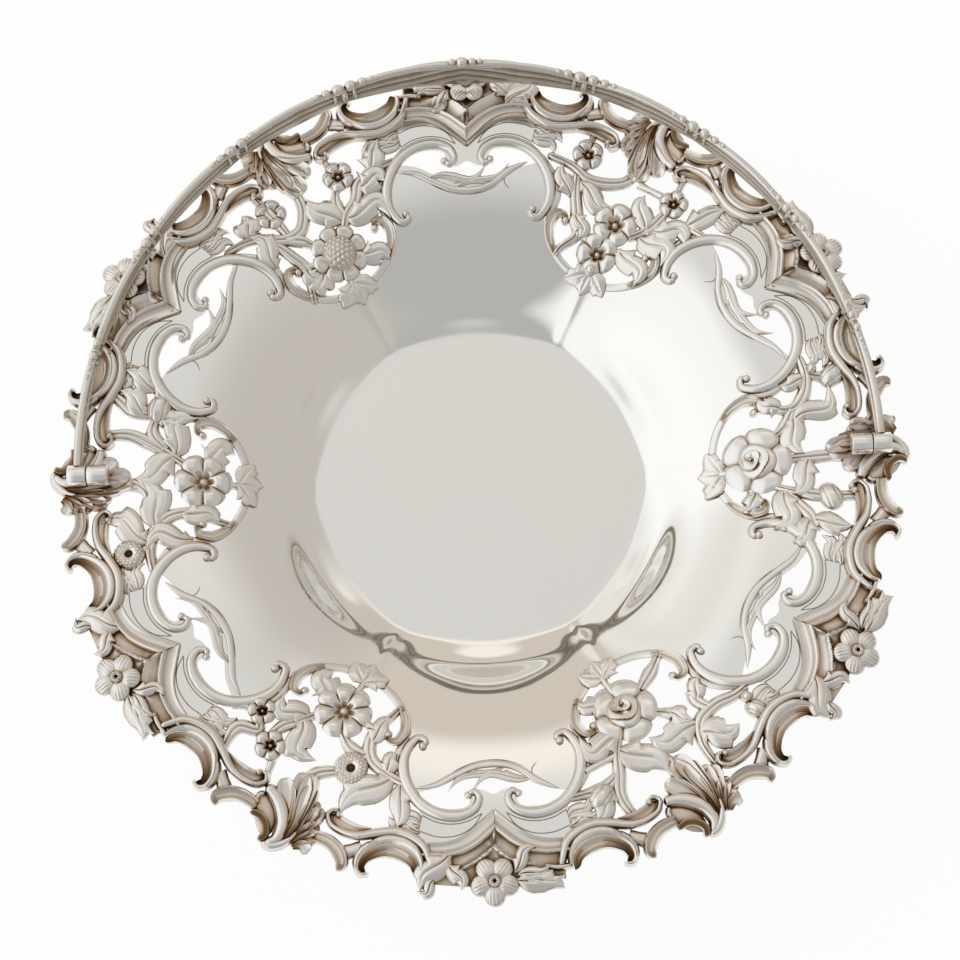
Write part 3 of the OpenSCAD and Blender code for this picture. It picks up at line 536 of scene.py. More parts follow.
class Shape:
    """Surfaces of one piece, gathered as grids and then made into one mesh.

    Every point has a recess value, 0 on a crown and 1 in a hollow, which its finish reads: the ornament's
    finishes darken hollows, feet and undersides by it as tarnish and painted shade, and the sheet's finish
    reads it as satin.
    """

    def __init__(self) -> None:
        """Start with no surfaces."""
        self.points: list[Array] = []
        self.tones: list[Array] = []
        self.corners: list[Array] = []
        self.sizes: list[Array] = []
        self.finishes: list[Array] = []
        self.count = 0
        self.finish = 0

    def place(self, points: Array, tone: Array | float) -> Array:
        """Add points.

        Args:
            points: any array of points.
            tone: recess values that fit the array.

        Returns:
            The points' numbers, in the shape of the array.
        """
        shape = points.shape[:-1]
        numbers = np.arange(math.prod(shape)).reshape(shape) + self.count
        self.points.append(points.reshape(-1, 3))
        self.tones.append(np.broadcast_to(tone, shape).ravel())
        self.count += numbers.size
        return numbers

    def fill(self, corners: Array) -> None:
        """Add faces that all have as many corners as the array has columns."""
        self.corners.append(corners.ravel())
        self.sizes.append(np.full(len(corners), corners.shape[1]))
        self.finishes.append(np.full(len(corners), self.finish))

    def grid(self, points: Array, tone: Array | float, ring: bool = True, caps: bool = True) -> None:
        """Add a surface on a grid of rows and columns.

        A row goes from left to right over the top when the viewer looks along the rows' order.

        Args:
            points: rows, columns and coordinates.
            tone: recess values.
            ring: whether the last column joins the first.
            caps: whether the first and last row are closed with a face each.
        """
        numbers = self.place(points, tone)
        left = numbers if ring else numbers[:, :-1]
        right = np.roll(numbers, -1, axis=1) if ring else numbers[:, 1:]
        self.fill(np.stack([left[:-1], right[:-1], right[1:], left[1:]], axis=-1).reshape(-1, 4))
        if caps:
            self.fill(numbers[:1, ::-1])
            self.fill(numbers[-1:])

    def pierced(self, top: Array, under: Array, keep: Array, tone: Array) -> None:
        """Add a sheet with openings, closed all round.

        Rows go outwards and columns anticlockwise, and the last column joins the first. Each
        cell of the grid is cut where the field crosses zero, by linear shares along its edges.

        Args:
            top: points of the upper face.
            under: points of the lower face.
            keep: field that is positive where there is metal.
            tone: recess values of both faces.
        """
        rows, columns = keep.shape
        spot = np.arange(rows * columns).reshape(rows, columns)
        after = np.roll(spot, -1, axis=1)
        flat = keep.ravel()
        ends = [(spot.ravel(), after.ravel()), (spot[:-1].ravel(), spot[1:].ravel())]
        numbers, crossings, total = [], [], rows * columns
        for a, b in ends:
            cut = (flat[a] > 0) != (flat[b] > 0)
            number = np.full(len(a), -1)
            number[cut] = total + np.arange(cut.sum())
            total += int(cut.sum())
            share = (flat[a[cut]] / (flat[a[cut]] - flat[b[cut]]))[:, None]
            numbers.append(number)
            crossings.append((a[cut], b[cut], share))
        round_cut = numbers[0].reshape(rows, columns)
        out_cut = numbers[1].reshape(rows - 1, columns)

        def with_cuts(values: Array) -> Array:
            """Values at the grid's points and then at the crossings."""
            values = values.reshape(rows * columns, -1)
            cuts = [values[a] + share * (values[b] - values[a]) for a, b, share in crossings]
            return np.concatenate([values] + cuts)

        tones = with_cuts(tone)[:, 0]
        upper = self.place(with_cuts(top), tones)
        lower = self.place(with_cuts(under), tones)
        corner = [spot[:-1], spot[1:], after[1:], after[:-1]]
        edge = [out_cut, round_cut[1:], np.roll(out_cut, -1, axis=1), round_cut[:-1]]
        code = sum((flat[c] > 0).astype(int) << k for k, c in enumerate(corner))
        for pattern in range(1, 16):
            cells = code == pattern
            if not cells.any():
                continue
            loop, cuts = [], []
            for k in range(4):
                here, there = pattern >> k & 1, pattern >> (k + 1) % 4 & 1
                if here:
                    loop.append(corner[k][cells])
                if here != there:
                    loop.append(edge[k][cells])
                    cuts.append(edge[k][cells])
            faces = np.stack(loop, axis=1)
            self.fill(upper[faces])
            self.fill(lower[faces[:, ::-1]])
            if not pattern & 1:
                cuts = cuts[1:] + cuts[:1]
            for start, end in zip(cuts[::2], cuts[1::2]):
                self.fill(np.stack([upper[end], upper[start], lower[start], lower[end]], axis=1))
        for numbers_of, order in ((upper, 1), (lower, -1)):
            self.fill(numbers_of[spot[:1]][:, ::order])

    def make(self, name: str, finishes: Sequence[Silver], body: str, *nodes: str) -> bpy.types.Object:
        """Make the mesh and its object, which rides on a body and stands for CAD nodes.

        Args:
            name: name of the piece.
            finishes: finishes in the order of their numbers.
            body: CAD body that carries the piece.
            nodes: CAD nodes that the piece stands for.

        Returns:
            The object, at the origin.
        """
        corners = np.concatenate(self.corners)
        used, corners = np.unique(corners, return_inverse=True)
        points = np.concatenate(self.points)[used] * MM
        sizes = np.concatenate(self.sizes)
        mesh = bpy.data.meshes.new(name)
        mesh.vertices.add(len(points))
        mesh.vertices.foreach_set("co", points.ravel())
        mesh.loops.add(len(corners))
        mesh.loops.foreach_set("vertex_index", corners.ravel())
        mesh.polygons.add(len(sizes))
        mesh.polygons.foreach_set("loop_start", np.cumsum(sizes) - sizes)
        mesh.polygons.foreach_set("material_index", np.concatenate(self.finishes))
        mesh.update(calc_edges=True)
        recess = mesh.attributes.new("recess", "FLOAT", "POINT")
        recess.data.foreach_set("value", np.concatenate(self.tones)[used].astype(np.float32))
        mesh.validate()
        mesh.shade_smooth()
        mesh.set_sharp_from_angle(angle=math.radians(CREASE_ANGLE))
        for finish in finishes:
            mesh.materials.append(finish.material())
        piece = bpy.data.objects.new(name, mesh)
        bpy.context.scene.collection.objects.link(piece)
        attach(piece, body)
        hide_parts(*nodes)
        log.info("%s: %d faces on %s", name, len(sizes), body)
        return piece


@dataclass(frozen=True)
class Wall:
    """Upper surface of the bowl: a flat floor and six hollow lobes between rounded creases."""

    floor_r: float = 61.0
    floor_corner: float = 2.6
    gallery_r: float = 80.0
    rim_r: float = 160.0
    floor_z: float = 25.2
    gauge: float = 1.2
    lobe_h: float = 33.0
    crease_h: float = 27.0
    lobe_sweep: float = 105.0
    crease_sweep: float = 108.0
    crease_ease: float = 0.75
    run_out: float = 0.02
    # Depth, place and width of a lobe's dip; height, place, inner and outer width of its swell
    dip: tuple[float, float, float] = (2.0, 0.1, 0.055)
    swell: tuple[float, float, float, float] = (2.0, 0.28, 0.1, 0.3)
    bell_fade: float = 1.2
    foot_ease: tuple[float, float] = (0.08, 0.13)
    crest_h: float = 0.28
    crest_w: float = 1.7
    crest_to: float = 92.0
    crest_ease: float = 16.0
    crest_power: float = 36.0
    # Inverse shares of the way over which the bells and the crest set in at the floor's edge
    bell_start: float = 50.0
    crest_start: float = 20.0
    sector: float = 60.0
    slope_step: float = 0.5

    def crease(self, angle: Array, power: float = 8.0) -> Array:
        """Share of a crease at an angle: 0 in the middle of a lobe and 1 on a crease.

        With s the share of the way from lobe to crease, it is s squared less a part of s to a
        power, which rounds the crest the less the higher the power is, scaled to end at 1.

        Args:
            angle: degrees anticlockwise from +X.
            power: the power.

        Returns:
            Shares from 0 to 1.
        """
        off = angle - self.sector / 2
        s = np.abs(off - self.sector * np.round(off / self.sector)) / (self.sector / 2)
        return (s ** 2 - 2 / power * s ** power) / (1 - 2 / power)

    def height(self, r: Array, angle: Array) -> Array:
        """Height of the surface.

        With t the share of the way from the floor's edge to the rim, a lobe rises as the sine of
        its sweep times t, and a crease as the sine of its own sweep times t to its ease. A short
        run-out, t over t plus a little, rounds the floor's edge. A lobe dips and then swells near
        the floor, each as a bell curve, the swell's wider outwards, that fades towards the creases,
        and a crease carries a narrow crest there.

        Args:
            r: distances from the axis.
            angle: degrees anticlockwise from +X.

        Returns:
            Heights above the table.
        """
        near = np.clip((self.crest_to - r) / self.crest_ease, 0, 1)
        near = near ** 2 * (3 - 2 * near)
        c = self.crease(angle) * (1 - near) + self.crease(angle, self.crest_power) * near
        edge = self.floor_r + self.floor_corner * self.crease(angle)
        t = np.maximum(0, (r - edge) / (self.rim_r - edge))
        soft = t / (t + self.run_out)
        dip = self.dip[0] * np.exp(-((t - self.dip[1]) / self.dip[2]) ** 2)
        past = t - self.swell[1]
        swell = self.swell[0] * np.exp(-(past / np.where(past < 0, self.swell[2], self.swell[3])) ** 2)
        lobe = self.lobe_h * np.sin(np.radians(self.lobe_sweep * t)) * soft
        lobe = lobe + np.clip(self.bell_start * t, 0, 1) * (1 - c) ** self.bell_fade * (swell - dip)
        rise = t / (t + self.run_out + self.foot_ease[0] * np.exp(-t / self.foot_ease[1]))
        crease = self.crease_h * np.sin(np.radians(self.crease_sweep * t ** self.crease_ease)) * rise
        arc = np.radians(angle - self.sector * np.round(angle / self.sector)) * r
        begun = np.clip(self.crest_start * t, 0, 1)
        crest = self.crest_h * near * np.exp(-(arc / self.crest_w) ** 2) * begun
        return self.floor_z + (1 - c) * lobe + c * crease + crest

    def radius(self, percent: Array | float) -> Array | float:
        """Distance from the basket's axis at a percent of the way up the gallery."""
        return self.gallery_r + (self.rim_r - self.gallery_r) * percent / 100

    def spot(self, axis: float, places: Places) -> Array:
        """Plan coordinates of places on the gallery.

        Args:
            axis: degrees anticlockwise from +X of the axis that the places are given from.
            places: places, one a row.

        Returns:
            Plan coordinates, one place a row.
        """
        places = np.asarray(places, float)
        r = self.radius(places[..., 1])
        a = np.radians(axis - places[..., 0])
        return np.stack([r * np.cos(a), r * np.sin(a)], axis=-1)

    def lift(self, plan: Array, above: Array | float) -> Array:
        """Points at a height above the surface, measured square to it along a radius.

        Args:
            plan: plan coordinates.
            above: heights above the surface.

        Returns:
            Points in space.
        """
        r = np.hypot(plan[..., 0], plan[..., 1])
        a = np.degrees(np.arctan2(plan[..., 1], plan[..., 0]))
        z = self.height(r, a)
        slope = (z - self.height(r - self.slope_step, a)) / self.slope_step
        return np.concatenate([plan, (z + above * np.sqrt(1 + slope ** 2))[..., None]], axis=-1)


@dataclass(frozen=True)
class Profile:
    """Cross-section of a moulding, from its left foot over the top to its right foot.

    Sides are shares of half the width, rises are shares of the height, and tones are recess
    values, high at the feet and in hollows as tarnish and painted shade. The underside closes it a little
    below its feet.
    """

    sides: tuple[float, ...]
    rises: tuple[float, ...]
    tones: tuple[float, ...]
    under: float = 0.35

    def closed(self) -> tuple[Array, Array, Array]:
        """Sides, rises and tones with the underside's two corners."""
        return (np.array(self.sides + (0.85, -0.85)), np.array(self.rises + (-self.under, -self.under)),
                np.array(self.tones + (UNDERSIDE_TARNISH_AND_SHADE, UNDERSIDE_TARNISH_AND_SHADE)))


def even(sides: tuple[float, ...], rises: tuple[float, ...], tones: tuple[float, ...]) -> Profile:
    """Profile that is alike on both sides, from its left foot to its middle.

    Args:
        sides: shares of half the width, the last being 0.
        rises: shares of the height.
        tones: recess values.

    Returns:
        The profile.
    """
    right = tuple(-side for side in sides[-2::-1])
    return Profile(sides + right, rises + rises[-2::-1], tones + tones[-2::-1])


# Plain round bead, as on stems
ROUND = even((-1, -0.9, -0.65, -0.33, 0), (0, 0.44, 0.76, 0.94, 1), (0.8, 0.4, 0.1, 0, 0))
# Crown with a sunk line along its middle, as on stems that swell into leaves
LEAFY = even((-1, -0.86, -0.55, -0.24, -0.08, 0), (0, 0.5, 0.92, 1, 0.86, 0.78),
             (0.8, 0.3, 0, 0.05, 0.5, 0.8))
# Hollow between two bright lips, as on the small scrolls
GUTTER = even((-1, -0.95, -0.8, -0.6, -0.35, 0), (0, 0.75, 1, 0.88, 0.58, 0.46),
              (0.7, 0.2, 0, 0.05, 0.3, 0.4))
# Shallow channel between thin crests, as on the flutes of a shell
FLUTE = even((-1, -0.95, -0.86, -0.7, -0.35, 0), (0.1, 0.8, 1, 0.86, 0.66, 0.6),
             (0.8, 0.3, 0, 0, 0.12, 0.2))
# Flat strip with eased edges, as the cut edge of a sheet
SELVAGE = even((-1, -0.92, -0.6, 0), (0, 0.8, 1, 1), (0.5, 0.2, 0, 0))
# Floor of a hollow that a scroll curls over, toned dark as tarnish and painted shade
HOLLOW = even((-1, -0.6, 0), (0, 0.8, 1), (0.5, 0.36, 0.36))
# Thin lip, deep hollow and broad bead, as on the large C-scrolls; the bead is on the right
DEEP = Profile((-1, -0.97, -0.9, -0.8, -0.62, -0.34, -0.06, 0.16, 0.38, 0.6, 0.8, 0.94, 1),
               (0, 0.5, 0.66, 0.46, 0.2, 0.12, 0.34, 0.7, 0.94, 1, 0.86, 0.5, 0),
               (0.6, 0.1, 0, 0.15, 0.34, 0.38, 0.28, 0.1, 0, 0, 0.05, 0.3, 0.6))
# Bead with a broad cove and a fillet on its right, as along the edge of a bracket
BAND = Profile((-1, -0.95, -0.82, -0.64, -0.46, -0.34, -0.24, 0, 0.28, 0.54, 0.74, 0.84, 0.94, 1),
               (0, 0.56, 0.9, 1, 0.92, 0.7, 0.5, 0.34, 0.27, 0.3, 0.4, 0.42, 0.3, 0),
               (0.6, 0.2, 0, 0, 0, 0.3, 0.4, 0.2, 0.1, 0.05, 0, 0, 0.3, 0.9))
# Flat strip, as a cut line
STRIP = Profile((-1, -0.5, 0.5, 1), (0, 1, 1, 0), (1, 1, 1, 1), 0.2)


def ease_ends(count: int, start: float, end: float) -> Array:
    """Shares that rise from nearly nothing at rounded ends to 1 between them.

    Each end is a quarter of an ellipse over its share of the length.

    Args:
        count: number of stations.
        start: share of the length that the first end takes.
        end: share that the last end takes.

    Returns:
        One share a station.
    """
    t = np.linspace(0, 1, count)
    shares = np.ones(count)
    for way, part in ((t, start), (1 - t, end)):
        if part > 0:
            shares *= np.sqrt(np.maximum(1 - np.maximum(1 - way / part, 0) ** 2, 4e-4))
    return shares


class Chaser:
    """Works ornament on the wall round one axis, and adds it to a shape."""

    def __init__(self, wall: Wall, axis: float, shape: Shape) -> None:
        """Work on a wall, round an axis, into a shape."""
        self.wall = wall
        self.axis = axis
        self.shape = shape

    def carry(self, path: Array, width: Array, height: Array, profile: Profile,
              base: Array | float = 0.0, mitre: int = 0) -> None:
        """Carry a profile along a path in plan, standing on the wall.

        A point of the surface is the path's point, moved across by its share of half the width,
        and lifted off the wall by the base and its share of the height.

        Args:
            path: plan points, one a row.
            width: width at each point, or one for all.
            height: height at each point, or one for all.
            profile: cross-section.
            base: height of the profile's feet above the wall.
            mitre: 1 or -1 if it is cut off on the axis and kept on its clockwise or other side.
        """
        count = len(path)
        width = np.broadcast_to(width, count)[:, None]
        height = np.broadcast_to(height, count)[:, None]
        base = np.broadcast_to(base, count)[:, None]
        side, rise, tone = profile.closed()
        plan = path[:, None] + across(path)[:, None] * (width / 2 * side)[..., None]
        if mitre:
            way = math.radians(self.axis)
            square = np.array([math.sin(way), -math.cos(way)]) * mitre
            plan = plan - np.minimum(plan @ square, 0)[..., None] * square
        self.shape.grid(self.wall.lift(plan, base + height * rise), np.broadcast_to(tone, plan.shape[:2]))

    def strand(self, places: Places, width: Sequence[float], height: float, profile: Profile,
               base: float = 0.0, ends: Span = (0.08, 0.08), count: int = 40, mitre: int = 0) -> None:
        """Carry a profile along a smooth curve through places.

        Args:
            places: places on the gallery.
            width: widths at even steps along the curve.
            height: height of the profile where the curve isn't ending.
            profile: cross-section.
            base: height of its feet above the wall.
            ends: shares of the length over which the ends round off.
            count: number of stations.
            mitre: side of the axis on which it is kept, or 0.
        """
        path = smooth_path(self.wall.spot(self.axis, places), count)
        round_off = ease_ends(count, *ends)
        widths = np.interp(np.linspace(0, 1, count), np.linspace(0, 1, len(width)), width)
        self.carry(path, widths * round_off, height * round_off, profile, base, mitre)

    def leaf(self, base: Sequence[float], tip: Sequence[float], width: float, bend: float,
             height: float = 1.6, lift: float = 0.0, lobes: int = 3, stations: int = 30) -> None:
        """Add a chased leaf from its base to its tip.

        Its midrib is a parabola bowed to one side by a share of the leaf's length, less a sine that
        makes its tip curl more than its base. Its half width grows as the share of the way to the
        power 0.7 and falls as the rest of the way to the power 0.9, and saw teeth that point to the
        tip notch it, deeper on the outer side of its bow. Across it, the surface is crowned and
        striped, with a sunk midrib and a vein to each notch.

        Args:
            base: place of its base.
            tip: place of its tip.
            width: full width.
            bend: bow of its midrib, as a share of its length.
            height: height of its crown above its edge.
            lift: height of its underside above the wall.
            lobes: lobes on each side.
            stations: number of stations along it.
        """
        start, end = self.wall.spot(self.axis, [base, tip])
        run = end - start
        side = np.array([-run[1], run[0]])
        t = np.linspace(0, 1, stations)
        bow = bend * (4 * t * (1 - t) - 0.5 * np.sin(2 * np.pi * t))
        path = start + t[:, None] * run + bow[:, None] * side
        body = np.maximum(2.99 * t ** 0.7 * (1 - t) ** 0.9, 0.3 * (1 - t) ** 2)
        s = np.sin(np.linspace(-0.5, 0.5, 27) * np.pi)
        tooth = np.mod(t[:, None] * lobes + np.where(s < 0, 0.2, 0.6), 1.0)
        outer = np.where((s < 0) == (bend > 0), 1.0, 0.12)
        half = np.maximum(width / 2 * body[:, None] * (1 - outer * (0.3 - 0.42 * tooth ** 1.5)), 0.06)
        groove = np.exp(-(s / 0.08) ** 2) * (1 - t[:, None] ** 3)
        vein = outer * np.exp(-((tooth - 0.04) / 0.1) ** 2) * np.clip(1.6 * np.abs(s) - 0.5, 0, 1)
        stripe = 0.03 * np.cos(6 * np.pi * np.abs(s)) * (1 - s ** 4) * np.sin(np.pi * t[:, None])
        crown = 0.3 + 0.7 * np.sqrt(1 - 0.96 * s ** 2) - 0.28 * groove - 0.16 * vein + stripe
        swell = (0.5 + 0.5 * np.sin(np.pi * t ** 0.8) + 0.4 * t ** 3)[:, None] * height
        # Painted shade, with tarnish: darker in the midrib and veins, towards the edges where the leaf
        # turns down, and at its base
        tone = 0.5 * groove + 0.5 * s ** 4 + 0.4 * s ** 20 + 0.5 * vein + 0.6 * (1 - t[:, None]) ** 5
        sides = np.concatenate([half * s, 0.8 * half[:, [-1, 0]] * np.array([1, -1])], axis=1)
        rises = lift + np.concatenate([swell * crown, np.full((stations, 2), -SINK)], axis=1)
        tones = np.concatenate([np.clip(tone, 0, 1), np.full((stations, 2), UNDERSIDE_TARNISH_AND_SHADE)], axis=1)
        plan = path[:, None] + across(path)[:, None] * sides[..., None]
        self.shape.grid(self.wall.lift(plan, rises), tones)

    def head(self, place: Sequence[float], reach: Array, rise: Array, tone: Array, base: float = 0.0,
             turn: float = 0.0, long: float = 1.0) -> None:
        """Add a flower head as a surface over rays from its middle.

        Rows are rings from the middle outwards, columns go clockwise round it, and a last ring
        drops to the wall so that the head is closed.

        Args:
            place: place of its middle.
            reach: distance from the middle of each ring's points.
            rise: heights above the wall.
            tone: recess values.
            base: height added all over.
            turn: degrees by which the head is turned.
            long: stretch along the turned direction.
        """
        middle = self.wall.spot(self.axis, place)
        columns = reach.shape[1]
        angle = -np.linspace(0, 2 * np.pi, columns, endpoint=False)
        flat = np.stack([reach * np.cos(angle) * long, reach * np.sin(angle)], axis=-1)
        flat = np.concatenate([flat, flat[-1:] * 0.92])
        way = math.radians(turn)
        spin = np.array([[math.cos(way), math.sin(way)], [-math.sin(way), math.cos(way)]])
        rise = np.concatenate([rise, np.full((1, columns), -SINK)])
        tone = np.concatenate([tone, np.full((1, columns), UNDERSIDE_TARNISH_AND_SHADE)])
        self.shape.grid(self.wall.lift(middle + flat @ spin, base + rise), np.clip(tone, 0, 1))

    @staticmethod
    def rays(columns: int, rings: int) -> tuple[Array, Array]:
        """Angles round a head's middle, and shares of the way out as a column."""
        return np.linspace(0, 2 * np.pi, columns, endpoint=False), np.linspace(POLE, 1, rings)[:, None]

    @staticmethod
    def dome(share: Array, fall: float = 0.97) -> Array:
        """Height of half an ellipsoid at shares of its radius, which stops just short of its foot."""
        return np.sqrt(np.maximum(1 - share ** 2 * fall, 0))

    def flower(self, flower: Flower) -> None:
        """Add a flower head of its own kind."""
        kinds = {OPEN: self.open_flower, ROSE: self.rose, DAISY: self.daisy, BUTTON: self.button,
                 BUD: self.bud, BERRY: self.bud}
        kinds[flower.kind](flower)

    def bloom(self, flower: Flower, reach: Array, rise: Array, tone: Array, long: float = 1.0) -> None:
        """Add a surface of a flower's head at its place, base and turn."""
        self.head(flower.place, reach, rise, tone, flower.base, self.axis + flower.turn, long)

    def open_flower(self, flower: Flower, hollow: float = 0.28) -> None:
        """Open petals: each bulges like half an ellipse from eye to edge, with cuts between.

        The petals' edge is the radius times 0.86 plus 0.14 of the root of the absolute cosine of
        half the petals times the angle. A small boss stands amid hollows at the petals' roots,
        each a bell that narrows with the cosine.

        Args:
            flower: the flower.
            hollow: share of the radius at which the hollows lie.
        """
        angle = np.linspace(0, 2 * np.pi, 14 * flower.petals, endpoint=False)
        petal = np.abs(np.cos(flower.petals * angle / 2))
        share = np.array(PETAL_RINGS)[:, None]
        edge = 0.86 + 0.14 * petal ** 0.5
        bulge = np.sqrt(np.maximum(1 - ((share - 0.64) / 0.42) ** 2, 0.02))
        body = bulge * (0.56 + 0.44 * petal ** 0.5)
        boss = 0.5 * np.sqrt(np.maximum(1 - (share / 0.15) ** 2, 0))
        root = np.exp(-((share - hollow) / 0.11) ** 2) * petal ** 1.5
        eye = np.clip((share - 0.08) / 0.18, 0.08, 1)
        rise = flower.height * (np.maximum(body * eye, boss) - 0.32 * root)
        # Painted shade, with tarnish: dark in the hollows at the petals' roots and in the cuts between
        # petals
        tone = np.maximum(0.75 * root, 0.75 * (1 - petal) ** 6 * np.clip(share * 1.6, 0, 1))
        self.bloom(flower, share * edge * flower.radius, rise, tone)

    def rose(self, flower: Flower) -> None:
        """A full rose: an open flower under a ball whose petals overlap along a spiral.

        The ball is a half ellipsoid. With the distance and the angle from a heart off its middle,
        each petal's lip is a step where the distance times 2.3, less the share of a turn, passes a
        whole number.

        Args:
            flower: the flower.
        """
        self.open_flower(replace(flower, radius=1.15 * flower.radius, petals=5, height=0.9 * flower.height))
        angle, share = self.rays(96, 30)
        aside, along = share * np.cos(angle) + 0.36, share * np.sin(angle) + 0.1
        around = np.arctan2(along, aside)
        step = np.mod(2.3 * np.hypot(aside, along) - around / (2 * np.pi) + 0.1 * np.sin(3 * around), 1.0)
        fold = 0.5 * flower.height * (step - 0.5) * np.clip(4 * share, 0, 1) * (1 - share ** 6)
        rise = 1.75 * flower.height * self.dome(share, 0.96) + fold
        # Painted shade, with tarnish: dark under each petal's lip and round the ball's foot
        tone = 0.8 * np.exp(-((step - 0.02) / 0.1) ** 2) + 0.7 * share ** 10
        edge = 0.66 * flower.radius * (1 + 0.06 * np.cos(3 * angle))
        self.bloom(flower, share * edge, rise, tone)

    @staticmethod
    def pebbles(reach: Array, angle: Array, pitch: float) -> Array:
        """Round pebbles in a triangular net: the sum of three cosines at 60 degrees to each other.

        Args:
            reach: distances from the middle.
            angle: angles round the middle.
            pitch: distance between two pebbles.

        Returns:
            Their height, from 0 between them to 1 on top.
        """
        wave = 4 * np.pi / (math.sqrt(3) * pitch)
        return sum(np.cos(wave * reach * np.cos(angle - k * np.pi / 3)) for k in range(3)) / 4.5 + 1 / 3

    def daisy(self, flower: Flower) -> None:
        """Cupped petals round a pebbled dome, which is half an ellipsoid.

        Args:
            flower: the flower.
        """
        self.open_flower(flower, 0.68)
        angle, share = self.rays(144, 34)
        reach = share * 0.65 * flower.radius + 0 * angle
        pebble = self.pebbles(reach, angle, 2.0)
        rise = 1.9 * flower.height * self.dome(share) + 0.6 * pebble * (1 - share ** 8)
        # Painted shade, with tarnish: dark between the pebbles and round the dome's foot
        self.bloom(flower, reach, rise, np.maximum((1 - pebble) ** 3, share ** 6))

    def button(self, flower: Flower) -> None:
        """A pebbled ring with a pit in its middle.

        Args:
            flower: the flower.
        """
        angle, share = self.rays(120, 30)
        reach = share * flower.radius + 0 * angle
        pebble = self.pebbles(reach, angle, 1.5)
        ringed = np.sqrt(np.maximum(1 - ((share - 0.52) / 0.5) ** 2, 0.01))
        pit = np.clip((share - 0.06) / 0.2, 0.35, 1)
        outer = np.clip((share - 0.4) / 0.15, 0, 1)
        rise = 1.1 * flower.height * ringed * pit + 0.55 * pebble * outer * (1 - share ** 8)
        # Painted shade, with tarnish: dark in the pit and between the pebbles
        tone = np.maximum(0.35 * np.exp(-(share / 0.22) ** 4), (1 - pebble) ** 3 * outer)
        self.bloom(flower, reach, rise, tone)

    def bud(self, flower: Flower) -> None:
        """A closed bud, longer than wide, with grooves that run along it; a berry has none.

        Args:
            flower: the flower; it has grooves if it has petals.
        """
        angle, share = self.rays(60, 16)
        aside = np.abs(share * np.sin(angle))
        groove = np.exp(-((aside - 0.42) / 0.07) ** 2) if flower.petals else 0 * aside
        rise = 1.25 * flower.height * self.dome(share, 0.96) - 0.35 * groove
        # Painted shade, with tarnish: dark in the grooves and round its foot
        tone = 0.8 * groove + 0.6 * share ** 8
        long = 1.25 if flower.petals else 1.0
        self.bloom(flower, share * flower.radius * 0.92 + 0 * angle, rise, tone, long)

    def petal(self, place: Sequence[float], turn: float, size: Span, height: float, base: float) -> None:
        """A cupped petal with flutes that run along it.

        It is half an ellipsoid, less a cosine across it that cuts three flutes, deeper outwards.

        Args:
            place: place of its middle.
            turn: direction in which it points, in degrees.
            size: half its length and half its breadth.
            height: height of its crown.
            base: height added all over.
        """
        angle, share = self.rays(72, 20)
        along, aside = share * np.cos(angle), share * np.sin(angle)
        flute = np.exp(-((np.mod(3 * aside + 0.5, 1.0) - 0.5) / 0.16) ** 2) * np.clip(0.5 + along, 0, 1)
        rise = height * self.dome(share) - 0.26 * flute * (1 - share ** 8)
        # Painted shade, with tarnish: dark in the flutes, round its rim and at its inner end
        tone = 0.5 * flute + 0.6 * share ** 10 + np.clip(-1.2 * along - 0.3, 0, 1)
        self.head(place, share * size[1] + 0 * angle, rise, tone, base, turn, size[0] / size[1])

    def bulb(self, place: Sequence[float], radius: float, height: float, base: float = 0.0) -> None:
        """A plain round boss, half an ellipsoid, as at the end of a scroll."""
        angle, share = self.rays(28, 10)
        rise = height * self.dome(share) + 0 * angle
        # Painted shade, with tarnish: darker round its foot
        self.head(place, share * radius + 0 * rise, rise, 0.7 * share ** 6 + 0 * rise, base)


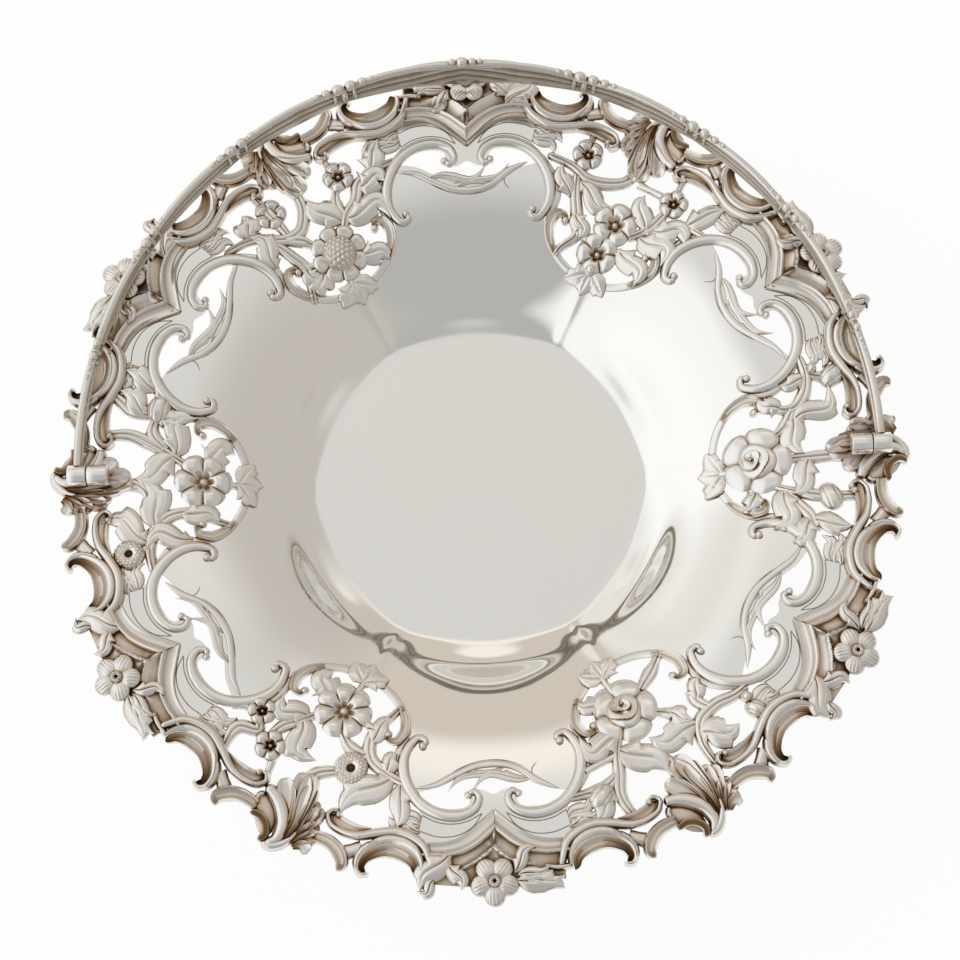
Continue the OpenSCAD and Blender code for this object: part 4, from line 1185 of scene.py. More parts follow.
@dataclass
class Bowl:
    """Raised sheet with arched openings, pierced crescents and chased scroll borders."""

    wall: Wall
    steps: int = 540
    sheet_to: float = 80.0
    lip_w: float = 4.4
    lip_h: float = 1.8
    line_w: float = 0.4
    line_h: float = 0.05
    crescent_leaf: Span = (0.9, -0.3)
    plate_leaf: Span = (1.4, -0.5)
    floor_rings: tuple[float, ...] = (4, 22, 40, 54, 59.5)
    satin_past: float = 1.2
    satin_fade: float = 2.5
    lip: Places = ((4.2, 55.4), (3.2, 53.6), (2.4, 56), (2.8, 60.4), (4.6, 64), (7, 65.2), (9.6, 64),
                   (12.2, 60.4), (14.2, 55), (15.6, 49), (16.3, 42), (15.8, 35), (14.4, 31), (13, 32.2),
                   (13.4, 34.4))
    plate: tuple[Places, ...] = (((11.2, 66.4), (9.1, 68.4), (6.6, 68.9), (4.1, 67.2), (1.9, 63.6)),
                                 ((1.9, 63.6), (3.2, 69.4), (5.4, 73.6), (8.5, 75), (11.3, 73.4)),
                                 ((11.3, 73.4), (11.2, 66.4)))
    plate_leaves: tuple[tuple, ...] = (((11.2, 69), (15.2, 62.6), 5.5, 0.2),
                                       ((11.2, 71), (16.2, 69.4), 6, 0.16),
                                       ((11, 74), (15.4, 75), 5, -0.2))
    ribbon: Places = ((13, 54.8), (9.9, 52), (6.7, 46.4), (2.3, 41.2), (-2.2, 41.4), (-5.1, 44.6),
                      (-7.6, 50.6), (-11, 56.4))
    spray: tuple[Places, ...] = (((-8.2, 42), (-7, 45.4), (-7.2, 49.2), (-9, 54.4)),
                                 ((9, 50), (6.4, 44), (2, 39.4), (-2.4, 39.6), (-6, 43.6)))

    def openings(self, r: Array, angle: Array) -> Array:
        """Distance from the nearest opening in the sheet, positive where there is metal.

        Args:
            r: distances from the axis.
            angle: degrees anticlockwise from +X.

        Returns:
            Signed distances.
        """
        def near(first: float) -> Array:
            """Plan points turned to the nearest of six axes, that axis being +Y."""
            off = angle - first
            u = np.radians(self.wall.sector * np.round(off / self.wall.sector) - off)
            return np.stack([r * np.sin(u), r * np.cos(u)], axis=-1).reshape(-1, 2)

        def outline(places: Places) -> Array:
            """Smooth closed outline through places, with its axis along +Y."""
            return smooth_path(self.wall.spot(90.0, tuple(places) + (places[0],)), 96)

        arch = outline(ARCH[::-1] + mirrored(ARCH)[1:])
        crescent = outline(CRESCENT)
        field_arch = inside_distance(near(0.0), arch)
        field_crescent = inside_distance(near(self.wall.sector / 2), crescent)
        edge = self.wall.radius(self.sheet_to)
        return np.minimum(-np.maximum(field_arch, field_crescent).reshape(r.shape), edge - r)

    def build(self) -> None:
        """Build the sheet on rings and rays, and chase the borders of its lobes."""
        wall = self.wall
        edge = wall.radius(self.sheet_to)
        rings = np.concatenate([self.floor_rings, np.linspace(60.5, 90, 36)[:-1],
                                np.linspace(90, edge + 1.0, 42)])
        angles = np.linspace(0, 360, self.steps, endpoint=False)
        r, a = np.meshgrid(rings, angles, indexing="ij")
        plan = np.stack([r * np.cos(np.radians(a)), r * np.sin(np.radians(a))], axis=-1)
        floor = wall.floor_r + wall.floor_corner * wall.crease(a)
        satin = np.clip((floor + self.satin_past - r) / self.satin_fade, 0, 1)
        shape = Shape()
        keep = self.openings(r, a)
        keep[:len(self.floor_rings)] = 1.0
        shape.pierced(wall.lift(plan, 0.0), wall.lift(plan, -wall.gauge), keep, satin)
        for k, axis in enumerate(LOBE_AXES):
            self.chase(Chaser(wall, axis, shape), k % 2 == 1)
        shape.make("bowl_sheet", [RAISED, ENGRAVED, CHASED], BASKET, "bowl")

    def chase(self, chaser: Chaser, flip: bool) -> None:
        """Chase one lobe: its scroll border, its engraved plates and the leaves in its crescent.

        Args:
            chaser: works on the lobe's axis.
            flip: whether the sprays are mirrored.
        """
        shape = chaser.shape
        shape.finish = RELIEF
        widths = (2.2, 3.4, *(4 * [self.lip_w]), 3.6, 2.2)
        for lip in (self.lip, mirrored(self.lip)):
            chaser.strand(lip, widths, self.lip_h, ROUND, 0.0, (0.03, 0.03), 110)
            chaser.bulb(lip[0], 1.5, 2.0)
            chaser.bulb(lip[-1], 1.5, 2.1)
        ribbon = mirrored(self.ribbon) if flip else self.ribbon
        chaser.strand(ribbon, (1, 2.6, 2.4, 3, 2.2, 2.8, 1.2), 0.8, ROUND, 0.0, (0.1, 0.1), 70)
        for base, tip, width, bend in CRESCENT_LEAVES:
            chaser.leaf(base, tip, width, bend, *self.crescent_leaf)
        for base, tip, width, bend in self.plate_leaves:
            for (end, far), way in (((base, tip), bend), (mirrored((base, tip)), -bend)):
                chaser.leaf(end, far, width, way, *self.plate_leaf)
        shape.finish = LINES
        lines = [(side, 0.0) for line in self.plate for side in (line, mirrored(line))]
        lines += [(mirrored(line) if flip else line, 0.3) for line in self.spray]
        for line, taper in lines:
            chaser.strand(line, (self.line_w, self.line_w), self.line_h, STRIP, 0.0, (taper, taper), 24)
        shape.finish = SHEET


@dataclass
class FloralPanel:
    """Pierced and chased panel of flowers on stems, let into one arch of the bowl."""

    wall: Wall
    number: int
    axis: float
    plan: PanelPlan
    stem_w: float = 3.8
    stem_h: float = 1.9
    stem_top: float = 74.0
    stem_reach: float = 4.0
    long_stem: tuple[float, ...] = (0.9, 1.3, 1.5, 1.0, 0.8)
    short_stem: tuple[float, ...] = (0.9, 0.75, 0.9)
    leaf_full: float = 2.0
    leaf_long: float = 1.12
    leaf_h: float = 2.2
    leaf_lift: float = 0.4
    flower_full: float = 1.1
    flower_h: float = 3.2
    flower_turn: float = 37.0
    edge_w: float = 3.2
    edge_h: float = 1.5
    foot_p: tuple[float, float, float] = (15, 4, 8)
    foot_w: float = 8.4
    foot_leaf: Span = (1.3, 0.35)
    cusp: Places = ((9.4, 33.2), (9.6, 35.2), (11.2, 35.6), (12.3, 31), (11.7, 24), (9.6, 17.5))
    edge: Places = ((3, 11.7), (7.6, 15.2), (10.6, 20.4), (12.6, 27.5), (12.7, 36), (12.4, 44), (13.7, 51),
                    (17.2, 61))

    def build(self) -> None:
        """Build the edge band, cusps, stems, leaves and flowers as one piece."""
        shape = Shape()
        chaser = Chaser(self.wall, self.axis, shape)
        base = -self.wall.gauge / 2
        edge = mirrored(self.edge)[::-1] + tuple(self.edge)
        chaser.strand(edge, (self.edge_w, self.edge_w), self.edge_h, SELVAGE, -self.wall.gauge,
                      (0.01, 0.01), 120)
        for cusp in (self.cusp, mirrored(self.cusp)):
            chaser.strand(cusp, (1.8, 3.2, 4.2, 4.2, 3.4, 2.4), 2.2, GUTTER, base, (0.06, 0.1), 48)
            chaser.bulb(cusp[0], 1.6, 2.4, base)
        for stem in self.plan.stems:
            stem = tuple((u, p + self.stem_reach * (p >= self.stem_top)) for u, p in stem)
            shares, profile = (self.long_stem, LEAFY) if len(stem) > 2 else (self.short_stem, ROUND)
            chaser.strand(stem, self.stem_w * np.array(shares), self.stem_h, profile, base, (0.04, 0.04))
        for leaf_base, tip, width, bend in self.plan.leaves:
            far = tuple(b + self.leaf_long * (t - b) for b, t in zip(leaf_base, tip))
            chaser.leaf(leaf_base, far, width * self.leaf_full, bend, self.leaf_h, base + self.leaf_lift, 2)
        middle, reach = self.plan.foot
        start, far, aside = self.foot_p
        for tip in ((middle, far), (middle - reach, aside), (middle + reach, aside)):
            chaser.leaf((middle, start), tip, self.foot_w, 0.0, *self.foot_leaf)
        for k, flower in enumerate(self.plan.flowers):
            chaser.flower(replace(flower, radius=self.flower_full * flower.radius, height=self.flower_h,
                                  base=base, turn=self.flower_turn * k))
        shape.make(f"panel_{self.number}", [CHASED], BASKET, f"floral_panel_{self.number}")


@dataclass
class RimSection:
    """Cast section of the rim over one lobe: a keeled bracket between scrolls and leaves."""

    wall: Wall
    number: int
    axis: float
    seam: float = 0.3
    bead_h: float = 3.6
    deep_h: float = 4.0
    keel_h: float = 3.0
    keel_reach: float = 1.5
    leaf_h: float = 2.4
    leaf_lift: float = 1.8
    face_half: Places = ((68, 0.3), (72, 2.4), (76, 4.4), (80, 8), (84, 9.6), (96, 9))
    edge: Places = ((-0.95, 64.4), (0, 66.8), (1.5, 70.6), (3.2, 75), (5.4, 79), (7.4, 80.8),
                    (9.4, 81.4), (10.6, 82))
    scroll: Places = ((8.6, 91), (9.2, 86), (10.1, 80.7), (11.9, 77.2), (14.2, 75.8), (17, 78),
                      (19.8, 81.6), (22.3, 82), (24.2, 80), (24.8, 76.6), (24.1, 74.2), (23.3, 75.6))
    tail: Places = ((17.4, 78.2), (20, 80), (22.2, 79.4), (23.6, 77.6), (24, 75.6))
    deep: Places = ((10.4, 93.4), (10.8, 88), (12, 84), (13.7, 82.3), (15.6, 83), (17.2, 86.6),
                    (18.1, 91), (18.1, 95), (17.3, 97.2))
    curl: Places = ((17.4, 82.6), (18.6, 88), (18.8, 93), (17.9, 97.4), (16.7, 96.4))
    hook: Places = ((21, 99.2), (20.6, 95.6), (21.3, 91.8), (22.7, 88.8), (24.3, 88), (25.7, 88.4))
    tie: Places = ((18.6, 86.4), (19.8, 88.4), (20.9, 91))
    sill: Places = ((-10.2, 91), (-8.4, 90.8), (-6.4, 89))
    keel: tuple[Places, ...] = (((0.1, 67), (0.2, 78.9)), ((0.2, 78.9), (2.3, 84.2), (5, 89.4)),
                                ((0.2, 78.9), (-1.6, 83.9), (-4.4, 87.6)))
    leaves: tuple[tuple, ...] = (((6.4, 82.6), (9.8, 99.4), 10, -0.12, 3),
                                 ((6.6, 87), (4.6, 98), 7, 0.16, 2),
                                 ((8.2, 94), (10.2, 99.6), 5, 0.3, 1),
                                 ((-2.4, 90.6), (-5.7, 80.6), 6, 0.16, 2),
                                 ((-2.8, 91.6), (-7.2, 88.8), 5, -0.12, 1),
                                 ((-3, 93), (-8.9, 94.6), 7, -0.1, 3),
                                 ((-2.6, 94), (-8.6, 100.4), 9, 0.08, 4))

    def build(self) -> None:
        """Build the bracket's keeled face, both wings, and the leaves beside the flower."""
        shape = Shape()
        chaser = Chaser(self.wall, self.axis, shape)
        self.face(chaser)
        for flip in (False, True):
            self.wing(chaser, flip)
        chaser.strand(self.sill, (2.4, 2.8, 2.4), 3.0, ROUND, self.seam, (0.1, 0.1), 20)
        for base, tip, width, bend, lobes in self.leaves:
            chaser.leaf(base, tip, width, bend, self.leaf_h, self.leaf_lift, lobes)
        shape.make(f"rim_cast_{self.number}", [CAST], BASKET, f"rim_section_{self.number}")

    def wing(self, chaser: Chaser, flip: bool) -> None:
        """Add one wing's scrolls; the paths always run clockwise, so that beads face the bowl.

        Args:
            chaser: works on the lobe's axis.
            flip: whether it is the left wing.
        """
        order = -1 if flip else 1

        def strand(places: Places, width: Sequence[float], height: float, profile: Profile,
                   ends: Span, count: int, mitre: int = 0) -> None:
            """Carry a profile along this wing's copy of a path."""
            path = (mirrored(places) if flip else tuple(places))[::order]
            chaser.strand(path, width[::order], height, profile, self.seam, ends[::order], count, mitre)

        strand(self.deep, (3.6, 6, 8.4, 9.2, 8.8, 7.6, 5.8, 4.2, 2.8), self.deep_h, DEEP, (0.06, 0.06), 72)
        strand(self.edge, (6.6, 6.6, 6.4, 6, 5.4), 3.2, BAND, (0.01, 0.02), 60, order)
        strand(self.tail, (3, 5, 6, 5.6, 4), 2.2, GUTTER, (0.1, 0.1), 40)
        strand(self.scroll, (3, 3.6, 4, 4.4, 4.4, 4.2, 3.6, 3, 2.8, 2.4, 2), self.bead_h, ROUND,
               (0.04, 0.05), 120)
        strand(self.curl, (2.4, 3.4, 3.2, 2.6, 2), self.bead_h, ROUND, (0.1, 0.1), 44)
        strand(self.tie, (6, 5, 6), 1.8, ROUND, (0.05, 0.05), 20)
        strand(self.hook, (3, 5, 5.6, 5.2, 5, 4.4), 3.2, GUTTER, (0.14, 0.05), 48)
        tip = mirrored(self.scroll)[-1] if flip else self.scroll[-1]
        chaser.bulb(tip, 1.5, self.bead_h + 0.2, self.seam)

    def face(self, chaser: Chaser) -> None:
        """Add the bracket's face, which rises to a sharp keel that forks towards the rim.

        Its height falls off from the keel's lines as the exponential of the distance from them,
        which leaves hollow facets between them; its half width grows with the bracket.

        Args:
            chaser: works on the lobe's axis.
        """
        rows = 44
        t = np.linspace(0, 1, rows)
        stops, halves = np.array(self.face_half).T
        p = stops[0] + (stops[-1] - stops[0]) * t
        half = np.interp(p, stops, halves)
        s = np.linspace(-1, 1, 57)
        places = np.stack([half[:, None] * s, p[:, None] + 0 * s], axis=-1)
        plan = self.wall.spot(chaser.axis, places)
        lines = np.concatenate([smooth_path(self.wall.spot(chaser.axis, line), 40) for line in self.keel])
        away = np.linalg.norm(plan[:, :, None] - lines, axis=-1).min(axis=-1)
        ridge = np.exp(-away / self.keel_reach)
        rise = (0.4 + self.keel_h * ridge) * np.clip(8 * t[:, None] + 0.2, 0, 1)
        # Painted shade, with tarnish: the hollow facets between the keel's ridges are darker than the
        # ridges
        tone = np.clip(0.6 - 1.6 * ridge, 0, 1)
        plan = np.concatenate([plan, plan[:, [-1, 0]]], axis=1)
        rises = np.concatenate([rise, np.zeros((rows, 2))], axis=1)
        tones = np.concatenate([tone, np.full((rows, 2), UNDERSIDE_TARNISH_AND_SHADE)], axis=1)
        chaser.shape.grid(self.wall.lift(plan, self.seam + rises), tones)


@dataclass
class RimShell:
    """Cast shell over one crease, whose flutes fan down from a crest that curls to the right."""

    wall: Wall
    number: int
    axis: float
    seam: float = 0.2
    fan: tuple[float, ...] = (0.4, 0.7, 1.1, 1.4, 1.0)
    flutes: tuple[tuple[Places, float, float], ...] = (
        (((-2.5, 97), (-3.6, 94.4), (-4.8, 95.4)), 4.0, 2.2),
        (((-2.2, 96.6), (-3.3, 91.7), (-4.5, 88.8), (-5.7, 87.8)), 4.2, 2.4),
        (((-2, 96), (-3, 89.3), (-3.9, 85.8), (-4.6, 83)), 4.4, 2.6),
        (((-1.9, 95.4), (-2.9, 88), (-3.5, 81.3), (-4.2, 75.6)), 4.8, 2.6),
        (((-1.7, 95), (-2.4, 87), (-2.7, 79.5), (-3, 73.4)), 4.8, 2.8),
        (((0.4, 96), (0.2, 86), (1.4, 78), (3.2, 71)), 5.6, 2.6),
        (((-1.5, 95), (-1.9, 85.7), (-1.6, 77), (-1.4, 68)), 5.0, 3.0),
        (((-1, 95), (-0.9, 82), (-0.1, 72.5), (1.1, 64.6)), 5.8, 2.9),
        (((-1.2, 95), (-1.4, 83.9), (-1, 74.1), (-0.5, 63)), 5.2, 3.2))
    stem: Places = ((1.6, 101.2), (0.2, 100.6), (-1, 97.6), (-1.8, 93.6), (-2.2, 89))
    horn: Places = ((1.2, 101.4), (0, 97.4), (0, 90), (1.2, 84), (3, 80), (4.8, 78.6))
    hook: Places = ((2, 101.4), (1.5, 97.6), (2.1, 93.4), (3.3, 91.4), (4.8, 92))
    hollow: Places = ((1.4, 98), (2.2, 93), (3.2, 88.4), (4.4, 85), (5, 84))
    curl: Places = ((4.4, 81.4), (4.9, 84), (4.8, 86.8))

    def build(self) -> None:
        """Build the hollow under the horn, the flutes side by side, and the horn and stem over them."""
        shape = Shape()
        chaser = Chaser(self.wall, self.axis, shape)
        chaser.strand(self.hollow, (3, 7, 8, 7, 5), 1.0, HOLLOW, self.seam, (0.1, 0.1), 30)
        for path, width, height in self.flutes:
            widths = [share * width for share in self.fan]
            chaser.strand(path, widths, height, FLUTE, self.seam, (0.04, 0.12), 44)
        chaser.strand(self.horn, (3.4, 5, 6, 6, 5.6, 4), 3.2, ROUND, self.seam, (0.1, 0.06), 50)
        chaser.strand(self.hook, (2.4, 3, 3.2, 3, 2.4), 3.0, GUTTER, self.seam, (0.1, 0.1), 40)
        chaser.strand(self.curl, (2.2, 2.6, 1.8), 2.8, ROUND, self.seam, (0.2, 0.2), 20)
        chaser.strand(self.stem, (3, 4, 3.6, 2.6, 1.6), 3.2, ROUND, self.seam, (0.12, 0.1), 40)
        shape.make(f"shell_{self.number}", [CAST], BASKET, f"rim_shell_{self.number}")


@dataclass
class RimFlower:
    """Cast flower with fluted petals on one bracket."""

    wall: Wall
    number: int
    axis: float
    place: tuple[float, float] = (0.3, 93.9)
    base: float = 2.4
    petal_size: tuple[float, float] = (4.2, 3.9)
    petal_out: float = 4.7
    petals: int = 5
    petal_h: float = 2.2
    boss_r: float = 2.4
    boss_h: float = 2.4
    boss_lift: float = 0.4

    def build(self) -> None:
        """Build the petals, which are cupped and fluted, round a pitted boss."""
        shape = Shape()
        chaser = Chaser(self.wall, self.axis, shape)
        reach = self.wall.rim_r - self.wall.gallery_r
        r = self.wall.radius(self.place[1])
        for k in range(self.petals):
            way = 2 * math.pi * k / self.petals
            u = self.place[0] - math.degrees(self.petal_out * math.sin(way) / r)
            p = self.place[1] + 100 * self.petal_out * math.cos(way) / reach
            chaser.petal((u, p), self.axis + math.degrees(way), self.petal_size, self.petal_h, self.base)
        chaser.flower(Flower(self.place, self.boss_r, 0, BUTTON, self.boss_h, self.base + self.boss_lift))
        shape.make(f"bracket_flower_{self.number}", [CAST], BASKET, f"rim_flower_{self.number}")


@dataclass
class Hinge:
    """One hinge: a lug on the shell, the handle's half of the barrel, and the pin through both."""

    side: str
    turn: float
    axis_z: float = 59.8746
    lug_from: float = 138.8
    lug_to: float = 146.4
    knuckle_from: float = 146.7
    knuckle_to: float = 153.7
    barrel_r: float = 4.0
    pin_r: float = 1.5
    pin_clear: float = 0.05
    saddle_h: float = 0.8
    saddle_crown: float = 0.5
    saddle_in: float = 0.4
    edge: float = 0.35
    pin_edge: float = 0.2
    pin_inset: float = 0.005
    pin_end: float = 0.05

    def lathe(self, shape: Shape, xs: Sequence[float], radii: Sequence[float],
              tones: Sequence[float]) -> None:
        """Turn a profile round the hinge's axis.

        Args:
            shape: shape to add to.
            xs: places along the axis, from end to end and back.
            radii: distances from it.
            tones: recess values.
        """
        angle = np.linspace(0, 2 * np.pi, 48, endpoint=False)
        x, r = np.array(xs)[:, None], np.array(radii)[:, None]
        way = math.cos(math.radians(self.turn))
        points = np.stack([way * x + 0 * angle, way * r * np.cos(angle),
                           self.axis_z + r * np.sin(angle)], axis=-1)
        points = np.concatenate([points, points[:1]])
        shape.grid(points, np.array(tuple(tones) + (tones[0],))[:, None], True, False)

    def barrel(self, shape: Shape, start: float, end: float, bore: float) -> None:
        """Add a plain turned barrel with rounded ends and a bore.

        Args:
            shape: shape to add to.
            start: place of its first end along the hinge's axis.
            end: place of its other end.
            bore: radius of its bore.
        """
        e, r = self.edge, self.barrel_r
        xs = (start, start, start + 0.3 * e, start + e, end - e, end - 0.3 * e, end, end)
        radii = (bore, r - e, r - 0.3 * e, r, r, r - 0.3 * e, r - e, bore)
        # Painted shade, with tarnish: dark at the bore and on the rounded ends
        self.lathe(shape, xs, radii, (1, 0.4, 0, 0, 0, 0, 0.4, 1))

    def build(self) -> None:
        """Build the lug with its saddle, the knuckle and the pin."""
        lug = Shape()
        self.barrel(lug, self.lug_from, self.lug_to, self.pin_r)
        way = math.cos(math.radians(self.turn))
        low = self.axis_z - self.barrel_r - self.saddle_h
        t = np.linspace(0, np.pi, 13)
        half = self.barrel_r / 2
        rise = self.saddle_crown * np.sin(t) ** 0.5 + low + half - self.saddle_crown
        section = np.stack([-half * np.cos(t) * way, rise], axis=-1)
        section = np.concatenate([section, [[half * way, low], [-half * way, low]]])
        ends = np.array([self.lug_from + self.saddle_in, self.lug_to - self.saddle_in])
        sections = np.repeat(section[None], len(ends), 0)
        points = np.dstack([np.repeat(ends[:, None], len(section), 1) * way, sections])
        lug.grid(points[::-1], 0.2)
        lug.make(f"lug_{self.side}", [TURNED], BASKET, f"hinge_lug_{self.side}")
        knuckle = Shape()
        self.barrel(knuckle, self.knuckle_from, self.knuckle_to, self.pin_r + self.pin_clear)
        knuckle.make(f"knuckle_{self.side}", [TURNED], HANDLE, f"handle_knuckle_{self.side}")
        pin = Shape()
        start, end, e, r = self.lug_from, self.knuckle_to, self.pin_edge, self.pin_r - self.pin_inset
        radii = (self.pin_end, r - e, r, r, r - e, self.pin_end)
        # Painted shade, with tarnish: a little darker at the pin's ends
        self.lathe(pin, (start, start, start + e, end - e, end, end), radii, (0.3, 0.1, 0, 0, 0.1, 0.3))
        pin.make(f"pin_{self.side}", [DRAWN], BASKET, f"hinge_pin_{self.side}")


@dataclass
class Bail:
    """Swing handle: two moulded straps that meet in a broader crown."""

    reach_x: float = 150.2
    reach_y: float = 152.5
    axis_z: float = 59.8746
    tilt: float = 6.50454
    thick: float = 3.0
    crown_thick: float = 4.2
    end_w: float = 7.0
    top_w: float = 18.0
    crown_w: float = 22.0
    start: float = 1.3151
    crown_from: float = 82.0
    knot_step: float = 18.0
    knots: int = 4
    knot_room: float = 3.0
    full: float = 0.97
    neck: float = 0.34
    channel: float = 0.76
    # Degrees from the crown's middle where the channel's ribs and its painted shade end, and their fades
    rib_end: float = 78.0
    rib_fade: float = 18.0
    inner_shade_end: float = 84.0
    inner_shade_fade: float = 24.0
    collar: tuple[tuple[float, float], ...] = ((-1.5, 1.3), (0.0, 1.9), (1.5, 1.3))
    beads: tuple[tuple[float, float], ...] = ((-4.4, 1.2), (-3.0, 1.8), (-1.2, 2.3), (0.8, 2.5),
                                              (2.6, 1.9), (4.0, 1.3))
    crest: tuple[tuple[float, float], ...] = ((-2.4, 1.0), (-1.3, 1.4), (0.2, 2.2), (1.6, 1.3))
    # Outer side of the strap from lip to lip: shares outwards and upwards, and recess values, dark under
    # the rolled lips as tarnish and painted shade
    section: tuple[tuple[float, float, float], ...] = (
        (-1, 0.84, 0.1), (-0.75, 0.94, 0), (-0.35, 0.99, 0), (0, 1, 0), (0.35, 0.98, 0), (0.7, 0.88, 0.3),
        (0.8, 0.76, 0.7), (0.8, 0.5, 0.5), (1, 0.2, 0.1), (1.1, 0, 0), (1, -0.2, 0.1), (0.8, -0.5, 0.5),
        (0.8, -0.76, 0.7), (1, -0.86, 0), (0.95, -0.96, 0.1), (0.4, -1, 0.2), (-0.6, -0.99, 0.2),
        (-1, -0.94, 0), (-0.95, -0.86, 0.2))

    def crown_share(self, a: Array) -> Array:
        """Share of the crown's swelling: a cosine over the crown, and 0 beyond it."""
        half = 90 - self.crown_from
        return np.where(np.abs(a - 90) < half, np.cos(np.pi / 2 * (a - 90) / half), 0)

    def sweep(self, shape: Shape, a: Array, out: Array, up: Array, tone: Array) -> None:
        """Carry a section along the bail's half ellipse.

        A point is the ellipse's point, moved along the ellipse's normal and square to its plane,
        and the whole is tilted about the hinge's axis.

        Args:
            shape: shape to add to.
            a: angles of the stations.
            out: offsets along the normal, stations by points.
            up: offsets square to the plane.
            tone: recess values.
        """
        rad = np.radians(a)[:, None]
        normal = np.stack([self.reach_y * np.cos(rad), self.reach_x * np.sin(rad)], axis=-1)
        normal /= np.linalg.norm(normal, axis=-1, keepdims=True)
        line = np.stack([self.reach_x * np.cos(rad), self.reach_y * np.sin(rad)], axis=-1)
        flat = line + normal * out[..., None]
        x, y = flat[..., 0], flat[..., 1]
        c, s = math.cos(math.radians(self.tilt)), math.sin(math.radians(self.tilt))
        shape.grid(np.stack([x, y * c - up * s, self.axis_z + y * s + up * c], axis=-1), tone)

    def half_width(self, a: Array) -> Array:
        """Half the strap's width, which grows as the squared sine from hinge to crown."""
        return (self.end_w + (self.top_w - self.end_w) * np.sin(np.radians(a)) ** 2
                + (self.crown_w - self.top_w) * self.crown_share(a)) / 2

    def strap(self, shape: Shape, a: Array) -> None:
        """Add the strap between the first and the last of the angles.

        Its section has a rolled lip along each edge, a channel with ribs on the inside and a low
        crest on the outside. It swells between the knots as the power 0.8 of the absolute sine of
        the angle. Ribs run along the inside, as the cosine of the place across. They flatten towards
        the knots, rise to a point in the middle of the crown and run out near the hinges.

        Args:
            shape: shape to add to.
            a: angles of the stations.
        """
        half_t = ((self.thick + (self.crown_thick - self.thick) * self.crown_share(a)) / 2)[:, None]
        half_w = self.half_width(a)[:, None]
        leaf = np.abs(np.sin(np.pi * (a - 90) / self.knot_step)) ** 0.8
        lens = np.maximum(leaf, 0.5 * self.crown_share(a))[:, None]
        swell = self.full - self.neck * (1 - lens)
        inner = np.linspace(-self.channel, self.channel, 21)
        off = np.abs(a - 90)[:, None]
        peak = 0.8 * np.clip(1 - off / (90 - self.crown_from), 0, 1)
        fade = np.clip((self.rib_end - off) / self.rib_fade, 0, 1)
        rib = np.cos(3 * np.pi * (inner - peak)) * fade * np.clip(2.5 * lens, 0, 1)
        # Painted shade on the inner channel: darker towards the crown, lighter near the hinges, and darker
        # between the ribs than on them
        inner_shade = 0.6 * np.clip((self.inner_shade_end - off) / self.inner_shade_fade, 0.3, 1) - 0.5 * rib
        inside = np.stack([-0.55 - 0.3 * rib, inner + 0 * rib, inner_shade])
        outside = np.array(self.section).T[:, None] + np.zeros((len(a), 1))
        outs, ups, tones = np.concatenate([outside, inside], axis=2)
        # Painted shade: the strap is darker in its necks beside the knots
        tones = tones + 0.5 * (1 - lens) ** 2
        self.sweep(shape, a, half_t * outs, half_w * ups * swell, tones)

    def knot(self, shape: Shape, a: float) -> None:
        """Add a knot: collars across the strap, and beads along its upper edge, all ellipsoids.

        Args:
            shape: shape to add to.
            a: angle of the knot.
        """
        size = float(self.half_width(np.array([a]))[0])
        scale = 0.5 + 0.5 * size * 2 / self.crown_w
        turn = np.linspace(0, 2 * np.pi, 20, endpoint=False)
        ring = np.linspace(-0.995, 0.995, 13)
        bulge = np.sqrt(1 - ring ** 2)[:, None]
        thick = self.thick / 2 + 0.5
        bare = self.crown_from < a < 180 - self.crown_from
        lumps = [(shift, 1.2 * radius, radius, self.full * size - radius * scale, radius)
                 for shift, radius in (self.crest if bare else self.beads)]
        lumps += [(shift, length, thick / scale, 0.0, 0.9 * size / scale)
                  for shift, length in self.collar if not bare]
        for shift, length, deep, middle, high in lumps:
            angles = a + shift + np.degrees(length * scale * ring / self.reach_y)
            up = middle + high * scale * bulge * np.sin(turn)
            # Painted shade, with tarnish: each lump is darker towards its ends, where it meets the strap
            self.sweep(shape, angles, -deep * scale * bulge * np.cos(turn), up, 0.4 - 0.4 * bulge + 0 * up)

    def build(self) -> None:
        """Build both arms and the crown, with a knot wherever two scallops of the edge meet."""
        for side, angles in (("right", (self.start, self.crown_from)),
                             ("left", (180 - self.crown_from, 180 - self.start))):
            arm = Shape()
            self.strap(arm, np.linspace(*angles, 160))
            for a in 90 + self.knot_step * np.arange(-self.knots, self.knots + 1):
                if angles[0] + self.knot_room < a < angles[1] - self.knot_room:
                    self.knot(arm, a)
            arm.make(f"bail_{side}", [HANDLED], HANDLE, f"bail_arm_{side}")
        crown = Shape()
        self.strap(crown, np.linspace(self.crown_from, 180 - self.crown_from, 81))
        self.knot(crown, 90.0)
        crown.make("bail_top", [HANDLED], HANDLE, "bail_crown")


